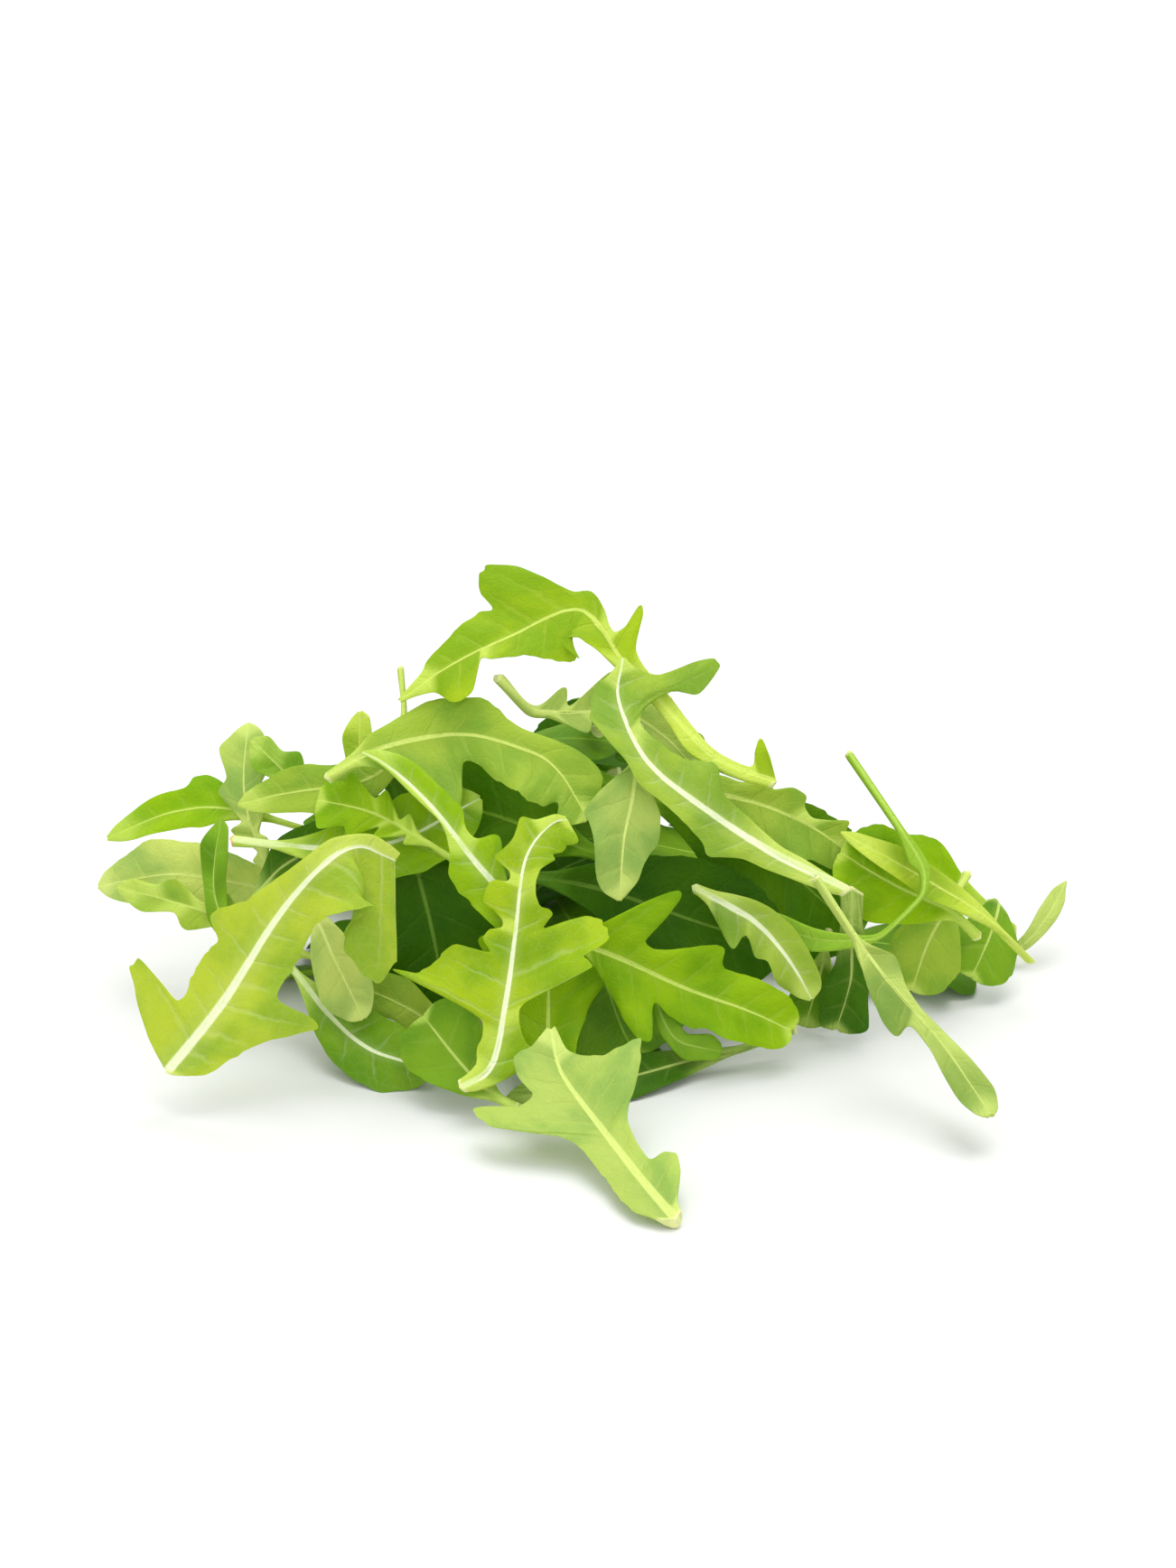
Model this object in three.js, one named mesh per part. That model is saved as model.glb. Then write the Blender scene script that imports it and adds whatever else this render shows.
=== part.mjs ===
// A loose heap of wild rocket leaves, picked and lying on a table.
// Every leaf, from its cut stem to its tip, is one closed solid of its own: a thin blade with a
// ridge along the midrib. The leaves are laid one after another on those that already lie there.
// Millimetres, +Z up. The origin is on the table, in the middle of the heap's outline.
import * as THREE from "three";

// Driving dimensions, in millimetres where a name gives no other unit
const DEGREE = Math.PI / 180;
const BLADE_THICKNESS = 0.8; // a real blade has about 0.35: this is what a sound solid needs
const STEM_THICKNESS = 2.6; // through the stem at its cut end, ridge included
const TIP_THICKNESS = 1.0; // through the midrib near the tip
const STEM_HALF_WIDTH = 3; // a leaf narrower than this is a stem, with a rounder upper face
const STEM_ROUNDING = 0.4; // how much that face rises
const VEIN_SWEEP = 32 * DEGREE; // lean of the side veins and lobes towards the tip
const FOLD = 8 * DEGREE; // how far the halves of a blade stand up from flat
const WAVE = 0.1; // height of the waves of the edge, as a share of its distance from the midrib
const WAVE_TURN = 18; // turn of that wave from a leaf's cut end to its tip, in radians
const WAVE_OFFSET = 2.3; // and between the two edges
const LEAF_GAP = 0.7; // room aimed at where two leaves lie on each other
const LEAST_GAP = 0.45; // and the least that may be left of it
const PRESSED_FLAT = 0.35; // what comes this near the table lies flat on it
const STIFF = { settle: 5, drop: 14, bend: 0.012 }; // a leaf that keeps its shape and place
const PRESSED = { settle: 20, drop: 200, bend: 0.05 }; // one that the heap presses on the table
const LEANING = { settle: 8, drop: 200, bend: 0.012 }; // one that falls and leans on the others
const LIMP = { settle: 300, drop: 200, bend: 0.006 }; // one that falls and drapes over the others
const CELL = 1.5; // grid that the heights of the heap are kept in
const SAMPLE_STEP = 1; // spacing of the points that a leaf is felt at
const REACH = 190; // half the side of that grid
const HEAP_MIDDLE = [0, -12]; // the heap's middle before the outline is centred on the origin

// The leaves that drape over each other inside the heap and down its far side
const FALL_FROM = 100; // the height they are let go from
const OWN_ARCH = 9; // how high such a leaf arches by itself
const RESTING_LEAVES = 2;
const RESTING_HALF_LENGTH = 50;
const RESTING_HALF_WIDTH = 17;
const RESTING_TURN = 20; // degrees from across the heap
const CORE_LEAVES = 4;
const CORE_HALF_LENGTH = 54;
const CORE_HALF_WIDTH = 24;
const CORE_BOW = 6; // how far such a leaf's ends lie to the two sides of its line
const CORE_SPREAD = [44, 26]; // the field that the middles of these leaves fall in, across and deep
const CORE_BACKWARD = 8; // how far that field lies behind the heap's middle
const CORE_TILT = 0.3; // how much the ways they face differ
const GOLDEN_TURN = 137.5 * DEGREE;
const BACK_LEAVES = 10;
const BACK_REACH = [104, 74]; // how far the lower and the upper row reach from the heap's middle
const BACK_START = [26, -8]; // and how far from it they start
const BACK_SIDEWARD = 16; // how much less they reach to the two sides, and how much that varies
const BACK_FAN = [[7, 168], [16, 148]]; // where each row starts, and the fan it fills, in degrees
const BACK_RISE = [12, 50]; // how much higher each row starts than it ends, in the middle of its fan
const BACK_FLANK = 0.35; // and how much less of that there is to the two sides
const BACK_HOLDS = [LIMP, LEANING];
const BACK_BOW = 16;
const BACK_HALF_WIDTH = [19, 24];

const GREEN = {
  bright: 0x8fbf2a,
  fresh: 0xa9cb58,
  pale: 0xc2d98a,
  teal: 0x6fa544,
  dark: 0x4f8a22,
};

// Outlines: rows of [share of the midrib, half-width on the left, half-width on the right]
// as shares of the leaf's half-width, seen on the upper face with the tip ahead.
const OUTLINES = {
  rocket: [
    [0, 0.1, 0.1], [0.2, 0.09, 0.09], [0.3, 0.42, 0.14], [0.36, 0.14, 0.46], [0.44, 0.74, 0.2],
    [0.51, 0.32, 0.82], [0.6, 1, 0.45], [0.69, 0.66, 1], [0.79, 0.92, 0.74], [0.89, 0.62, 0.66],
    [0.96, 0.3, 0.34], [1, 0.05, 0.05],
  ],
  oval: [
    [0, 0.12, 0.12], [0.18, 0.12, 0.12], [0.3, 0.42, 0.36], [0.42, 0.8, 0.74], [0.56, 1, 0.94],
    [0.7, 0.92, 1], [0.84, 0.68, 0.74], [0.94, 0.36, 0.4], [1, 0.07, 0.07],
  ],
  finger: [
    [0, 0.14, 0.14], [0.22, 0.13, 0.13], [0.3, 0.7, 0.16], [0.37, 0.2, 0.66], [0.46, 0.98, 0.24],
    [0.54, 0.28, 1], [0.64, 0.95, 0.34], [0.73, 0.42, 0.88], [0.83, 0.7, 0.5], [0.92, 0.45, 0.5],
    [1, 0.08, 0.08],
  ],
  strap: [
    [0, 0.4, 0.4], [0.25, 0.42, 0.42], [0.45, 0.85, 0.6], [0.62, 0.7, 1], [0.8, 1, 0.8],
    [0.93, 0.6, 0.6], [1, 0.14, 0.14],
  ],
  point: [
    [0, 0.3, 0.3], [0.3, 0.6, 0.55], [0.55, 0.9, 0.85], [0.75, 0.8, 0.75], [0.9, 0.4, 0.36],
    [1, 0.06, 0.06],
  ],
  hook: [
    [0, 0.3, 0.3], [0.24, 0.3, 0.3], [0.32, 0.5, 0.8], [0.37, 0.5, 0.34], [0.44, 0.22, 0.22],
    [0.6, 0.24, 0.24], [0.68, 0.6, 0.44], [0.78, 1, 0.8], [0.88, 0.9, 0.94], [0.95, 0.6, 0.5],
    [1, 0.1, 0.1],
  ],
  far_lobe: [
    [0, 0.12, 0.12], [0.3, 0.14, 0.16], [0.42, 0.4, 0.6], [0.48, 0.7, 1.3], [0.53, 0.9, 1.35],
    [0.6, 0.8, 0.9], [0.72, 0.75, 0.85], [0.84, 0.6, 0.65], [0.93, 0.36, 0.4], [1, 0.1, 0.1],
  ],
  // The leaves that the heap is known by, from the front
  arch: [
    [0, 0.09, 0.3], [0.008, 0.1, 0.48], [0.03, 0.11, 0.32], [0.05, 0.12, 0.1],
    [0.11, 0.13, 0.1], [0.16, 0.2, 0.1], [0.23, 0.14, 0.12], [0.29, 0.1, 0.15],
    [0.37, 0.12, 0.17], [0.41, 0.14, 0.26], [0.44, 0.2, 0.58], [0.455, 0.26, 0.62],
    [0.465, 0.32, 0.3], [0.48, 0.4, 0.14], [0.5, 0.6, 0.12], [0.523, 0.76, 0.2],
    [0.54, 0.74, 0.3], [0.566, 0.73, 0.26], [0.571, 0.72, 0.7], [0.582, 0.72, 0.92],
    [0.61, 0.66, 1], [0.65, 0.5, 0.88], [0.685, 0.38, 0.72], [0.7, 0.33, 0.44],
    [0.725, 0.28, 0.48], [0.775, 0.2, 0.43], [0.8, 0.12, 0.38], [0.815, 0.5, 0.36],
    [0.85, 0.54, 0.3], [0.885, 0.4, 0.24], [0.915, 0.2, 0.15], [0.963, 0.08, 0.08],
    [1, 0.03, 0.03],
  ],
  diagonal: [
    [0, 0.12, 0.07], [0.05, 0.2, 0.09], [0.13, 0.24, 0.16], [0.2, 0.3, 0.17], [0.26, 0.34, 0.22],
    [0.29, 0.52, 0.25], [0.31, 0.62, 0.28], [0.36, 0.5, 0.32], [0.4, 0.45, 0.4],
    [0.425, 0.43, 0.66], [0.45, 0.4, 0.7], [0.52, 0.34, 0.52], [0.6, 0.34, 0.4],
    [0.67, 0.28, 0.32], [0.72, 0.38, 0.25], [0.77, 0.54, 0.22], [0.79, 0.52, 0.42],
    [0.8, 0.5, 0.9], [0.815, 0.48, 1.3], [0.84, 0.42, 1.56], [0.87, 0.36, 1.5], [0.89, 0.3, 1.1],
    [0.905, 0.23, 0.66], [0.93, 0.16, 0.4], [0.96, 0.1, 0.2], [1, 0.04, 0.04],
  ],
  mid: [
    [0, 0.1, 0.1], [0.1, 0.16, 0.16], [0.15, 0.34, 0.5], [0.19, 0.42, 1.1], [0.23, 0.52, 1.5],
    [0.29, 0.72, 1.8], [0.35, 0.72, 1.82], [0.395, 0.7, 1.55], [0.415, 0.72, 0.74],
    [0.44, 0.72, 0.56], [0.5, 0.6, 0.58], [0.55, 0.47, 0.8], [0.62, 0.38, 0.88],
    [0.715, 0.44, 0.92], [0.77, 0.6, 0.84], [0.83, 0.64, 0.66], [0.87, 0.54, 0.36],
    [0.9, 0.44, 0.5], [0.95, 0.24, 0.4], [1, 0.06, 0.06],
  ],
  hanging: [
    [0, 0.12, 0.12], [0.25, 0.12, 0.14], [0.31, 0.3, 0.6], [0.36, 0.5, 0.95], [0.42, 0.82, 1.14],
    [0.46, 0.87, 1.2], [0.5, 0.92, 1.06], [0.57, 0.94, 0.88], [0.66, 0.76, 0.76],
    [0.75, 0.6, 0.7], [0.84, 0.48, 0.6], [0.92, 0.27, 0.42], [1, 0.05, 0.05],
  ],
  folded: [
    [0, 0.2, 0.15], [0.08, 0.4, 0.15], [0.15, 0.6, 0.16], [0.24, 0.68, 0.2], [0.29, 0.72, 0.5],
    [0.33, 0.68, 0.76], [0.38, 0.58, 0.66], [0.44, 0.36, 0.34], [0.5, 0.22, 0.3],
    [0.54, 0.14, 0.5], [0.6, 0.08, 0.46], [0.69, 0.12, 0.44], [0.78, 0.12, 0.44],
    [0.86, 0.08, 0.34], [0.93, 0.06, 0.2], [1, 0.04, 0.04],
  ],
  rib: [
    [0, 0.14, 0.14], [0.1, 0.2, 0.3], [0.2, 0.4, 0.9], [0.3, 0.55, 1.05], [0.38, 0.62, 0.5],
    [0.5, 0.7, 0.75], [0.6, 0.7, 0.55], [0.72, 0.62, 0.7], [0.84, 0.56, 0.5], [0.93, 0.4, 0.3],
    [1, 0.08, 0.08],
  ],
  teal: [
    [0, 0.12, 0.12], [0.1, 0.3, 0.5], [0.16, 0.4, 0.9], [0.21, 0.42, 1], [0.31, 0.38, 1.15],
    [0.41, 0.56, 1.09], [0.445, 0.4, 1.07], [0.5, 0.6, 1.02], [0.57, 0.57, 0.96],
    [0.62, 0.34, 0.9], [0.69, 0.2, 0.76], [0.74, 0.32, 0.66], [0.785, 0.54, 0.6],
    [0.83, 0.36, 0.54], [0.9, 0.22, 0.48], [0.95, 0.14, 0.4], [1, 0.05, 0.05],
  ],
  centre: [
    [0, 0.1, 0.08], [0.03, 0.12, 0.14], [0.07, 0.17, 0.2], [0.1, 0.21, 0.42], [0.132, 0.25, 0.7],
    [0.15, 0.26, 0.46], [0.19, 0.23, 0.32], [0.238, 0.28, 0.24], [0.25, 0.62, 0.23],
    [0.262, 1.5, 0.22], [0.285, 1.24, 0.22], [0.3, 1.15, 0.3], [0.31, 1.1, 1.16],
    [0.34, 1.02, 1.12], [0.365, 0.95, 1], [0.38, 0.92, 1.24], [0.404, 0.84, 1.3],
    [0.43, 0.72, 1.26], [0.442, 0.5, 1.24], [0.455, 0.3, 1.2], [0.475, 0.36, 1.14],
    [0.49, 0.4, 1.08], [0.507, 0.38, 0.98], [0.52, 0.36, 0.72], [0.53, 0.34, 0.4],
    [0.548, 0.22, 0.44], [0.56, 0.18, 0.5], [0.58, 0.2, 0.46], [0.6, 0.32, 0.34],
    [0.612, 0.46, 0.3], [0.65, 0.45, 0.24], [0.69, 0.36, 0.22], [0.708, 0.17, 0.22],
    [0.738, 0.17, 0.24], [0.75, 0.38, 0.26], [0.78, 0.32, 0.36], [0.8, 0.28, 0.38],
    [0.825, 0.26, 0.32], [0.85, 0.3, 0.4], [0.875, 0.34, 0.39], [0.91, 0.18, 0.38],
    [0.96, 0.1, 0.36], [1, 0.04, 0.04],
  ],
  bright: [
    [0, 0.09, 0.09], [0.05, 0.36, 0.12], [0.09, 0.95, 0.2], [0.12, 1.26, 0.34], [0.18, 0.94, 0.6],
    [0.23, 0.4, 0.88], [0.28, 0.34, 1], [0.33, 0.44, 0.94], [0.37, 0.56, 0.42], [0.43, 0.7, 0.47],
    [0.5, 0.73, 0.52], [0.57, 0.5, 0.47], [0.66, 0.5, 0.53], [0.75, 0.47, 0.48],
    [0.85, 0.44, 0.42], [0.93, 0.34, 0.32], [0.98, 0.2, 0.18], [1, 0.08, 0.08],
  ],
  front: [
    [0, 0.14, 0.1], [0.04, 0.31, 0.16], [0.09, 0.34, 0.4], [0.14, 0.34, 0.47], [0.19, 0.33, 0.36],
    [0.23, 0.32, 0.21], [0.33, 0.32, 0.22], [0.41, 0.35, 0.29], [0.445, 0.46, 0.4],
    [0.46, 0.86, 0.5], [0.485, 1.06, 0.66], [0.53, 1.12, 0.86], [0.575, 1.08, 0.94],
    [0.605, 0.92, 0.86], [0.62, 0.64, 0.78], [0.66, 0.48, 0.64], [0.7, 0.4, 0.5],
    [0.76, 0.48, 0.38], [0.82, 0.46, 0.28], [0.89, 0.26, 0.14], [1, 0.05, 0.05],
  ],
  left_front: [
    [0, 0.3, 0.04], [0.02, 0.5, 0.16], [0.045, 0.62, 0.26], [0.075, 0.72, 0.3],
    [0.115, 0.72, 0.32], [0.13, 0.5, 0.34], [0.145, 0.3, 0.36], [0.19, 0.3, 0.44],
    [0.22, 0.34, 0.58], [0.26, 0.34, 0.76], [0.29, 0.34, 0.68], [0.315, 0.33, 0.38],
    [0.37, 0.3, 0.33], [0.41, 0.44, 0.33], [0.5, 0.29, 0.31], [0.58, 0.22, 0.29],
    [0.64, 0.18, 0.36], [0.72, 0.14, 0.52], [0.8, 0.12, 0.64], [0.88, 0.11, 0.8],
    [0.95, 0.1, 0.92], [1, 0.07, 0.72],
  ],
  low: [
    [0, 0.12, 0.12], [0.24, 0.12, 0.12], [0.32, 0.8, 0.5], [0.4, 0.6, 0.95], [0.46, 0.42, 1.1],
    [0.53, 0.32, 1.2], [0.57, 0.3, 0.5], [0.67, 0.4, 0.55], [0.77, 0.55, 0.66], [0.88, 0.66, 0.7],
    [0.96, 0.42, 0.5], [1, 0.12, 0.12],
  ],
};

// The places that leaves are laid from: the way back towards the hand, and the line across it
const LAID = {
  above: { back: [0, 0, 1], across: [1, 0, 0] },
  front: { back: [0, -0.94, 0.342], across: [1, 0, 0] },
};

// The leaves that the front shows, from the hindmost to the foremost. A leaf is
// [name, colour, outline, half-width, midrib points from cut end to tip, ways the upper face looks,
//  { curl: left and right bend of the blade in degrees a centimetre, sweeps: of its left and
//    right lobes, wave: in place of WAVE }]
const FRONT_LEAVES = [
  ["leaf_left_upright", "fresh", "strap", 5,
    [[-52, -16, 27], [-55, -14, 46], [-55, -8, 53], [-55, 1, 66]], [[-0.3, -0.9, 0.3]]],
  ["leaf_under_arch", "teal", "finger", 11,
    [[-21, -20, 82], [-16, -18, 74], [-6, -15, 71], [8, -12, 70], [18, -12, 64], [26, -14, 56]],
    [[0, -0.7, 0.7]]],
  ["leaf_left_bright", "bright", "far_lobe", 7,
    [[-56, -16, 39], [-72, -14, 43], [-88, -9, 45], [-101, -7, 43], [-117, -3, 35]],
    [[0, -0.75, 0.65]]],
  ["leaf_left_pale", "pale", "oval", 10,
    [[-50, -21, 26], [-69, -23, 28], [-84, -20, 30], [-100, -14, 30], [-119, -7, 24]],
    [[-0.1, -0.75, 0.6]]],
  ["leaf_left_low", "fresh", "finger", 7,
    [[-50, -43, 14], [-69, -39, 21], [-93, -26, 26], [-113, -15, 27]], [[-0.2, -0.85, 0.45]]],
  ["leaf_left_grey", "pale", "rocket", 8,
    [[-69, -33, 27], [-77, -24, 38], [-82, -15, 51], [-82, -7, 66]], [[-0.3, -0.9, 0.35]]],
  ["leaf_left_point", "bright", "finger", 8,
    [[-40, -31, 35], [-55, -25, 45], [-70, -14, 54], [-80, -8, 62]], [[-0.1, -0.75, 0.65]]],
  ["leaf_behind_stem", "teal", "strap", 8,
    [[107, -9, 10], [96, -7, 19], [85, -5, 28], [74, -4, 33]], [[0.3, -0.75, 0.6]]],
  ["leaf_far_right", "teal", "point", 3.5,
    [[101, -2, 1], [109, -2, 7], [113, 0, 11], [117, 4, 15], [121, 10, 18]],
    [[0.2, -0.8, 0.5]]],
  ["leaf_right_hang_b", "fresh", "oval", 11,
    [[100, 1, 16], [100, -8, 19], [97, -14, 14], [92, -20, 6]], [[0.3, -0.9, 0.4]]],
  ["leaf_right_hang_a", "teal", "oval", 11,
    [[92, -10, 29], [87, -16, 24], [81, -22, 16], [77, -28, 6]], [[0.2, -0.9, 0.4]]],
  ["leaf_dark_middle", "dark", "oval", 22,
    [[10, -30, 38], [-6, -27, 44], [-24, -22, 49], [-44, -18, 52]], [[0, -0.8, 0.6]]],
  ["leaf_dark_left", "dark", "oval", 21,
    [[-46, -29, 61], [-41, -36, 46], [-36, -43, 28], [-33, -48, 8]], [[-0.1, -0.9, 0.4]]],
  ["leaf_dark_right", "dark", "oval", 20,
    [[0, -19, 57], [22, -18, 48], [44, -20, 36], [64, -24, 19]], [[0, -0.85, 0.5]]],
  ["leaf_dark_low", "dark", "oval", 17,
    [[-24, -30, 38], [2, -32, 34], [24, -32, 26], [45, -30, 18]], [[0, -0.85, 0.5]]],
  ["leaf_right_under", "bright", "oval", 7,
    [[57, -25, 21], [55, -29, 13], [53, -32, 6], [51, -35, 0]], [[0.1, -0.9, 0.4]]],
  ["leaf_teal_upright", "teal", "strap", 5,
    [[-77, -46, 11], [-83, -40, 23], [-88, -33, 34], [-87, -26, 48]], [[-0.5, -0.85, 0.2]]],
  ["leaf_cut_stem", "pale", "oval", 9,
    [[-83, -50, 30], [-78, -46, 36], [-71, -42, 43], [-62, -40, 46], [-50, -40, 46]],
    [[-0.3, -0.7, 0.65]]],
  ["leaf_pale_stem", "pale", "oval", 12,
    [[-84, -30, 45], [-61, -36, 45], [-44, -39, 48], [-25, -35, 57]], [[0, -0.7, 0.7]]],
  ["leaf_left_oval", "fresh", "oval", 7,
    [[-44, -18, 84], [-43, -24, 74], [-46, -31, 64], [-56, -32, 59], [-68, -30, 57],
      [-82, -28, 53]], [[0, -0.8, 0.6]]],
  ["leaf_left_curl", "fresh", "rocket", 9,
    [[-29, -47, 46], [-39, -43, 51], [-50, -38, 55], [-62, -33, 56]], [[0, -0.8, 0.6]]],
  ["leaf_right_teal", "teal", "teal", 13,
    [[18, -24, 56], [30, -26, 55], [42, -27, 52], [53, -28, 47], [63, -30, 40]],
    [[0.15, -0.8, 0.6]]],
  ["leaf_mid_left", "fresh", "mid", 14,
    [[-60, -35, 62], [-47, -34, 69], [-31, -33, 72], [-19, -36, 71], [-8, -40, 67], [0, -48, 57]],
    [[-0.1, -0.7, 0.7], [0.2, -0.85, 0.5]]],
  ["leaf_right_light", "fresh", "oval", 13,
    [[93, -22, 17], [85, -24, 25], [76, -26, 30], [67, -26, 35], [59, -25, 40]],
    [[0.1, -0.85, 0.5]]],
  ["leaf_stem_right", "bright", "oval", 5,
    [[107, -21, 10], [93, -25, 24], [77, -27, 35], [67, -27, 41], [59, -25, 45]],
    [[0.25, -0.7, 0.7]]],
  ["leaf_right_lobe", "bright", "strap", 8,
    [[61, -28, 33], [61, -30, 27], [61, -32, 21], [61, -35, 11], [58, -38, 1]],
    [[0.1, -0.85, 0.5]]],
  ["leaf_hook", "fresh", "hook", 3.6,
    [[61, -16, 62], [67, -22, 52], [73, -25, 45], [78, -30, 35], [71, -38, 26], [53, -44, 26],
      [35, -43, 33]], [[0.1, -0.9, 0.4]]],
  ["leaf_hanging", "pale", "hanging", 10,
    [[12, -26, 72], [11, -36, 67], [10, -42, 60], [8, -48, 52], [7, -57, 41]],
    [[0, -0.8, 0.6], [0, -0.95, 0.3]]],
  ["leaf_arch", "bright", "arch", 20.5,
    [[43, -43, 64], [29, -41, 69], [18, -32, 78], [8, -24, 87], [-2, -16, 97], [-19, -20, 91],
      [-31, -24, 86], [-43, -29, 79]],
    [[0.2, -0.75, 0.6], [0.2, -0.75, 0.6], [0, -0.75, 0.65], [-0.2, -0.8, 0.55]]],
  ["leaf_diagonal", "fresh", "diagonal", 17,
    [[59, -54, 42], [42, -52, 50], [25, -47, 60], [13, -39, 68], [7, -29, 79], [8, -23, 87]],
    [[0.3, -0.75, 0.6], [0.1, -0.9, 0.4]]],
  ["leaf_white_rib", "fresh", "rib", 9,
    [[24, -36, 36], [32, -40, 33], [39, -42, 29], [46, -47, 22], [51, -50, 14]],
    [[0.1, -0.9, 0.4]]],
  ["leaf_strip_left", "fresh", "strap", 7,
    [[-18, -52, 0], [-29, -52, 4], [-44, -45, 11], [-55, -40, 13]], [[-0.1, -0.8, 0.5]]],
  ["leaf_behind_front", "pale", "strap", 19,
    [[-8, -67, -1], [-9, -62, 3], [-9, -56, 11], [-9, -49, 24]], [[0, -0.85, 0.5]]],
  ["leaf_floor_dark", "dark", "oval", 7,
    [[48, -51, 7], [37, -54, 4], [20, -60, 2], [2, -67, 1], [-18, -77, 2]], [[0, -0.6, 0.8]]],
  ["leaf_right_low", "fresh", "low", 7.5,
    [[51, -52, 45], [58, -60, 36], [67, -73, 27], [77, -83, 18], [86, -100, 9]],
    [[0.3, -0.8, 0.5]]],
  ["leaf_folded", "fresh", "folded", 12,
    [[-12, -68, 31], [-18, -63, 43], [-26, -56, 51], [-35, -48, 60], [-45, -41, 67],
      [-51, -37, 69]], [[-0.2, -0.8, 0.6]]],
  ["leaf_blue_green", "teal", "oval", 9.5,
    [[-74, -44, 25], [-66, -51, 18], [-55, -60, 9], [-46, -65, 6], [-34, -69, 5]],
    [[0.2, -0.85, 0.5]]],
  ["leaf_light_floor", "pale", "oval", 12,
    [[-15, -84, 3], [-23, -77, 5], [-30, -71, 10], [-37, -65, 16]], [[-0.1, -0.75, 0.65]]],
  ["leaf_small_curl", "bright", "strap", 4,
    [[14, -51, 20], [16, -55, 14], [20, -59, 8], [30, -59, 5]], [[0.1, -0.9, 0.3]]],
  ["leaf_bright", "bright", "bright", 18,
    [[-5, -66, 35], [8, -69, 31], [22, -72, 25], [36, -73, 20], [46, -73, 15]], [[0, -0.85, 0.5]]],
  ["leaf_centre", "fresh", "centre", 18,
    [[-28, -87, 9], [-21, -84, 13], [-18, -77, 25], [-16, -67, 37], [-14, -56, 50], [-9, -50, 56],
      [-5, -48, 57]], [[-0.1, -0.9, 0.4]], { sweeps: [18 * DEGREE, 27 * DEGREE] }],
  ["leaf_muted_oval", "fresh", "oval", 8,
    [[-69, -40, 38], [-63, -45, 32], [-58, -51, 24], [-51, -57, 12]], [[-0.3, -0.85, 0.4]]],
  ["leaf_front", "pale", "front", 23,
    [[18, -133, 2], [9, -118, 6], [1, -103, 10], [-6, -88, 14], [-8, -80, 20]],
    [[0, -0.5, 0.86], [0, -0.75, 0.66]], { wave: 0.03 }],
  ["leaf_left_front", "fresh", "left_front", 30,
    [[-93, -66, 4], [-80, -63, 20], [-68, -58, 38], [-58, -55, 49], [-51, -51, 52],
      [-43, -47, 47]],
    [[-0.3, -0.85, 0.45], [0, -0.85, 0.5]], { curl: [0, -10], sweeps: [20 * DEGREE, 20 * DEGREE] }],
];

// The same number between 0 and 1 each time, for the leaf and the question with these numbers
function draw(leaf, question) {
  const spread = Math.sin(leaf * 12.9898 + question * 78.233) * 43758.5453;
  return spread - Math.floor(spread);
}

// A point given along, beside and above a line that leaves the heap's middle at this turn
function placed(turn, along, beside, above) {
  return [
    HEAP_MIDDLE[0] + along * Math.cos(turn) - beside * Math.sin(turn),
    HEAP_MIDDLE[1] + along * Math.sin(turn) + beside * Math.cos(turn),
    above,
  ];
}

// Leaves that lie face down on the table under the heap, and carry it
function restingLeaf(index) {
  const turn = (index * 90 + RESTING_TURN) * DEGREE;
  const midrib = [-1, -0.36, 0.36, 1].map((share) =>
    placed(turn, share * RESTING_HALF_LENGTH, 0, FALL_FROM),
  );
  return {
    name: "leaf_resting_" + (index + 1),
    green: "dark",
    outline: "oval",
    halfWidth: RESTING_HALF_WIDTH,
    midrib,
    looks: [[0, 0, -1]],
    laid: "above",
    hold: PRESSED,
  };
}

// A midrib that leaves the heap's middle at a turn, from one distance to another, with its own arch
function drapedMidrib(turn, from, to, aside, rise = 0) {
  return [0, 0.33, 0.67, 1].map((share) =>
    placed(turn, from + (to - from) * share, aside * (1 - 2 * share),
      FALL_FROM + rise * (1 - share) + OWN_ARCH * Math.sin(Math.PI * share)),
  );
}

// Leaves that cross each other inside the heap, each a golden turn on from the one below
function coreLeaf(index) {
  const spot = CORE_SPREAD.map((size, axis) => size * (draw(index, axis + 2) - 0.5));
  const midrib = drapedMidrib(
    index * GOLDEN_TURN + 0.6 * draw(index, 1), -CORE_HALF_LENGTH, CORE_HALF_LENGTH, CORE_BOW,
  ).map(([x, y, z]) => [x + spot[0], y + spot[1] + CORE_BACKWARD, z]);
  const tilt = [5, 6].map((question) => CORE_TILT * (draw(index, question) - 0.5));
  return {
    name: "leaf_core_" + (index + 1),
    green: index % 2 ? "dark" : "teal",
    outline: index % 3 ? "rocket" : "finger",
    halfWidth: CORE_HALF_WIDTH,
    midrib,
    looks: [[...tilt, 1]],
    laid: "above",
    hold: LIMP,
  };
}

// Leaves on the far side in two rows: the first drapes over the core, and the second leans on it
// from the table up. Every third lies with its stem end outwards.
function backLeaf(index) {
  const perRow = BACK_LEAVES / 2;
  const row = Math.floor(index / perRow);
  const step = ((index % perRow) * 3) % perRow;
  const [start, fan] = BACK_FAN[row];
  const turn = (start + (step * fan) / (perRow - 1)) * DEGREE;
  const far = BACK_REACH[row] + BACK_SIDEWARD * (draw(index, 8) - Math.abs(Math.cos(turn)));
  const rise = BACK_RISE[row] * (1 - BACK_FLANK * Math.abs(Math.cos(turn)));
  const bow = BACK_BOW * (draw(index, 9) - 0.5);
  const midrib = drapedMidrib(turn, BACK_START[row], far, bow, rise);
  const [narrow, wide] = BACK_HALF_WIDTH;
  return {
    name: "leaf_back_" + (index + 1),
    green: ["bright", "teal", "fresh"][index % 3],
    outline: ["rocket", "oval", "rocket", "finger"][index % 4],
    halfWidth: narrow + (wide - narrow) * draw(index, 10),
    midrib: index % 3 === 2 ? midrib.reverse() : midrib,
    looks: [[0, 0, 1]],
    laid: "above",
    hold: BACK_HOLDS[row],
  };
}

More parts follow.
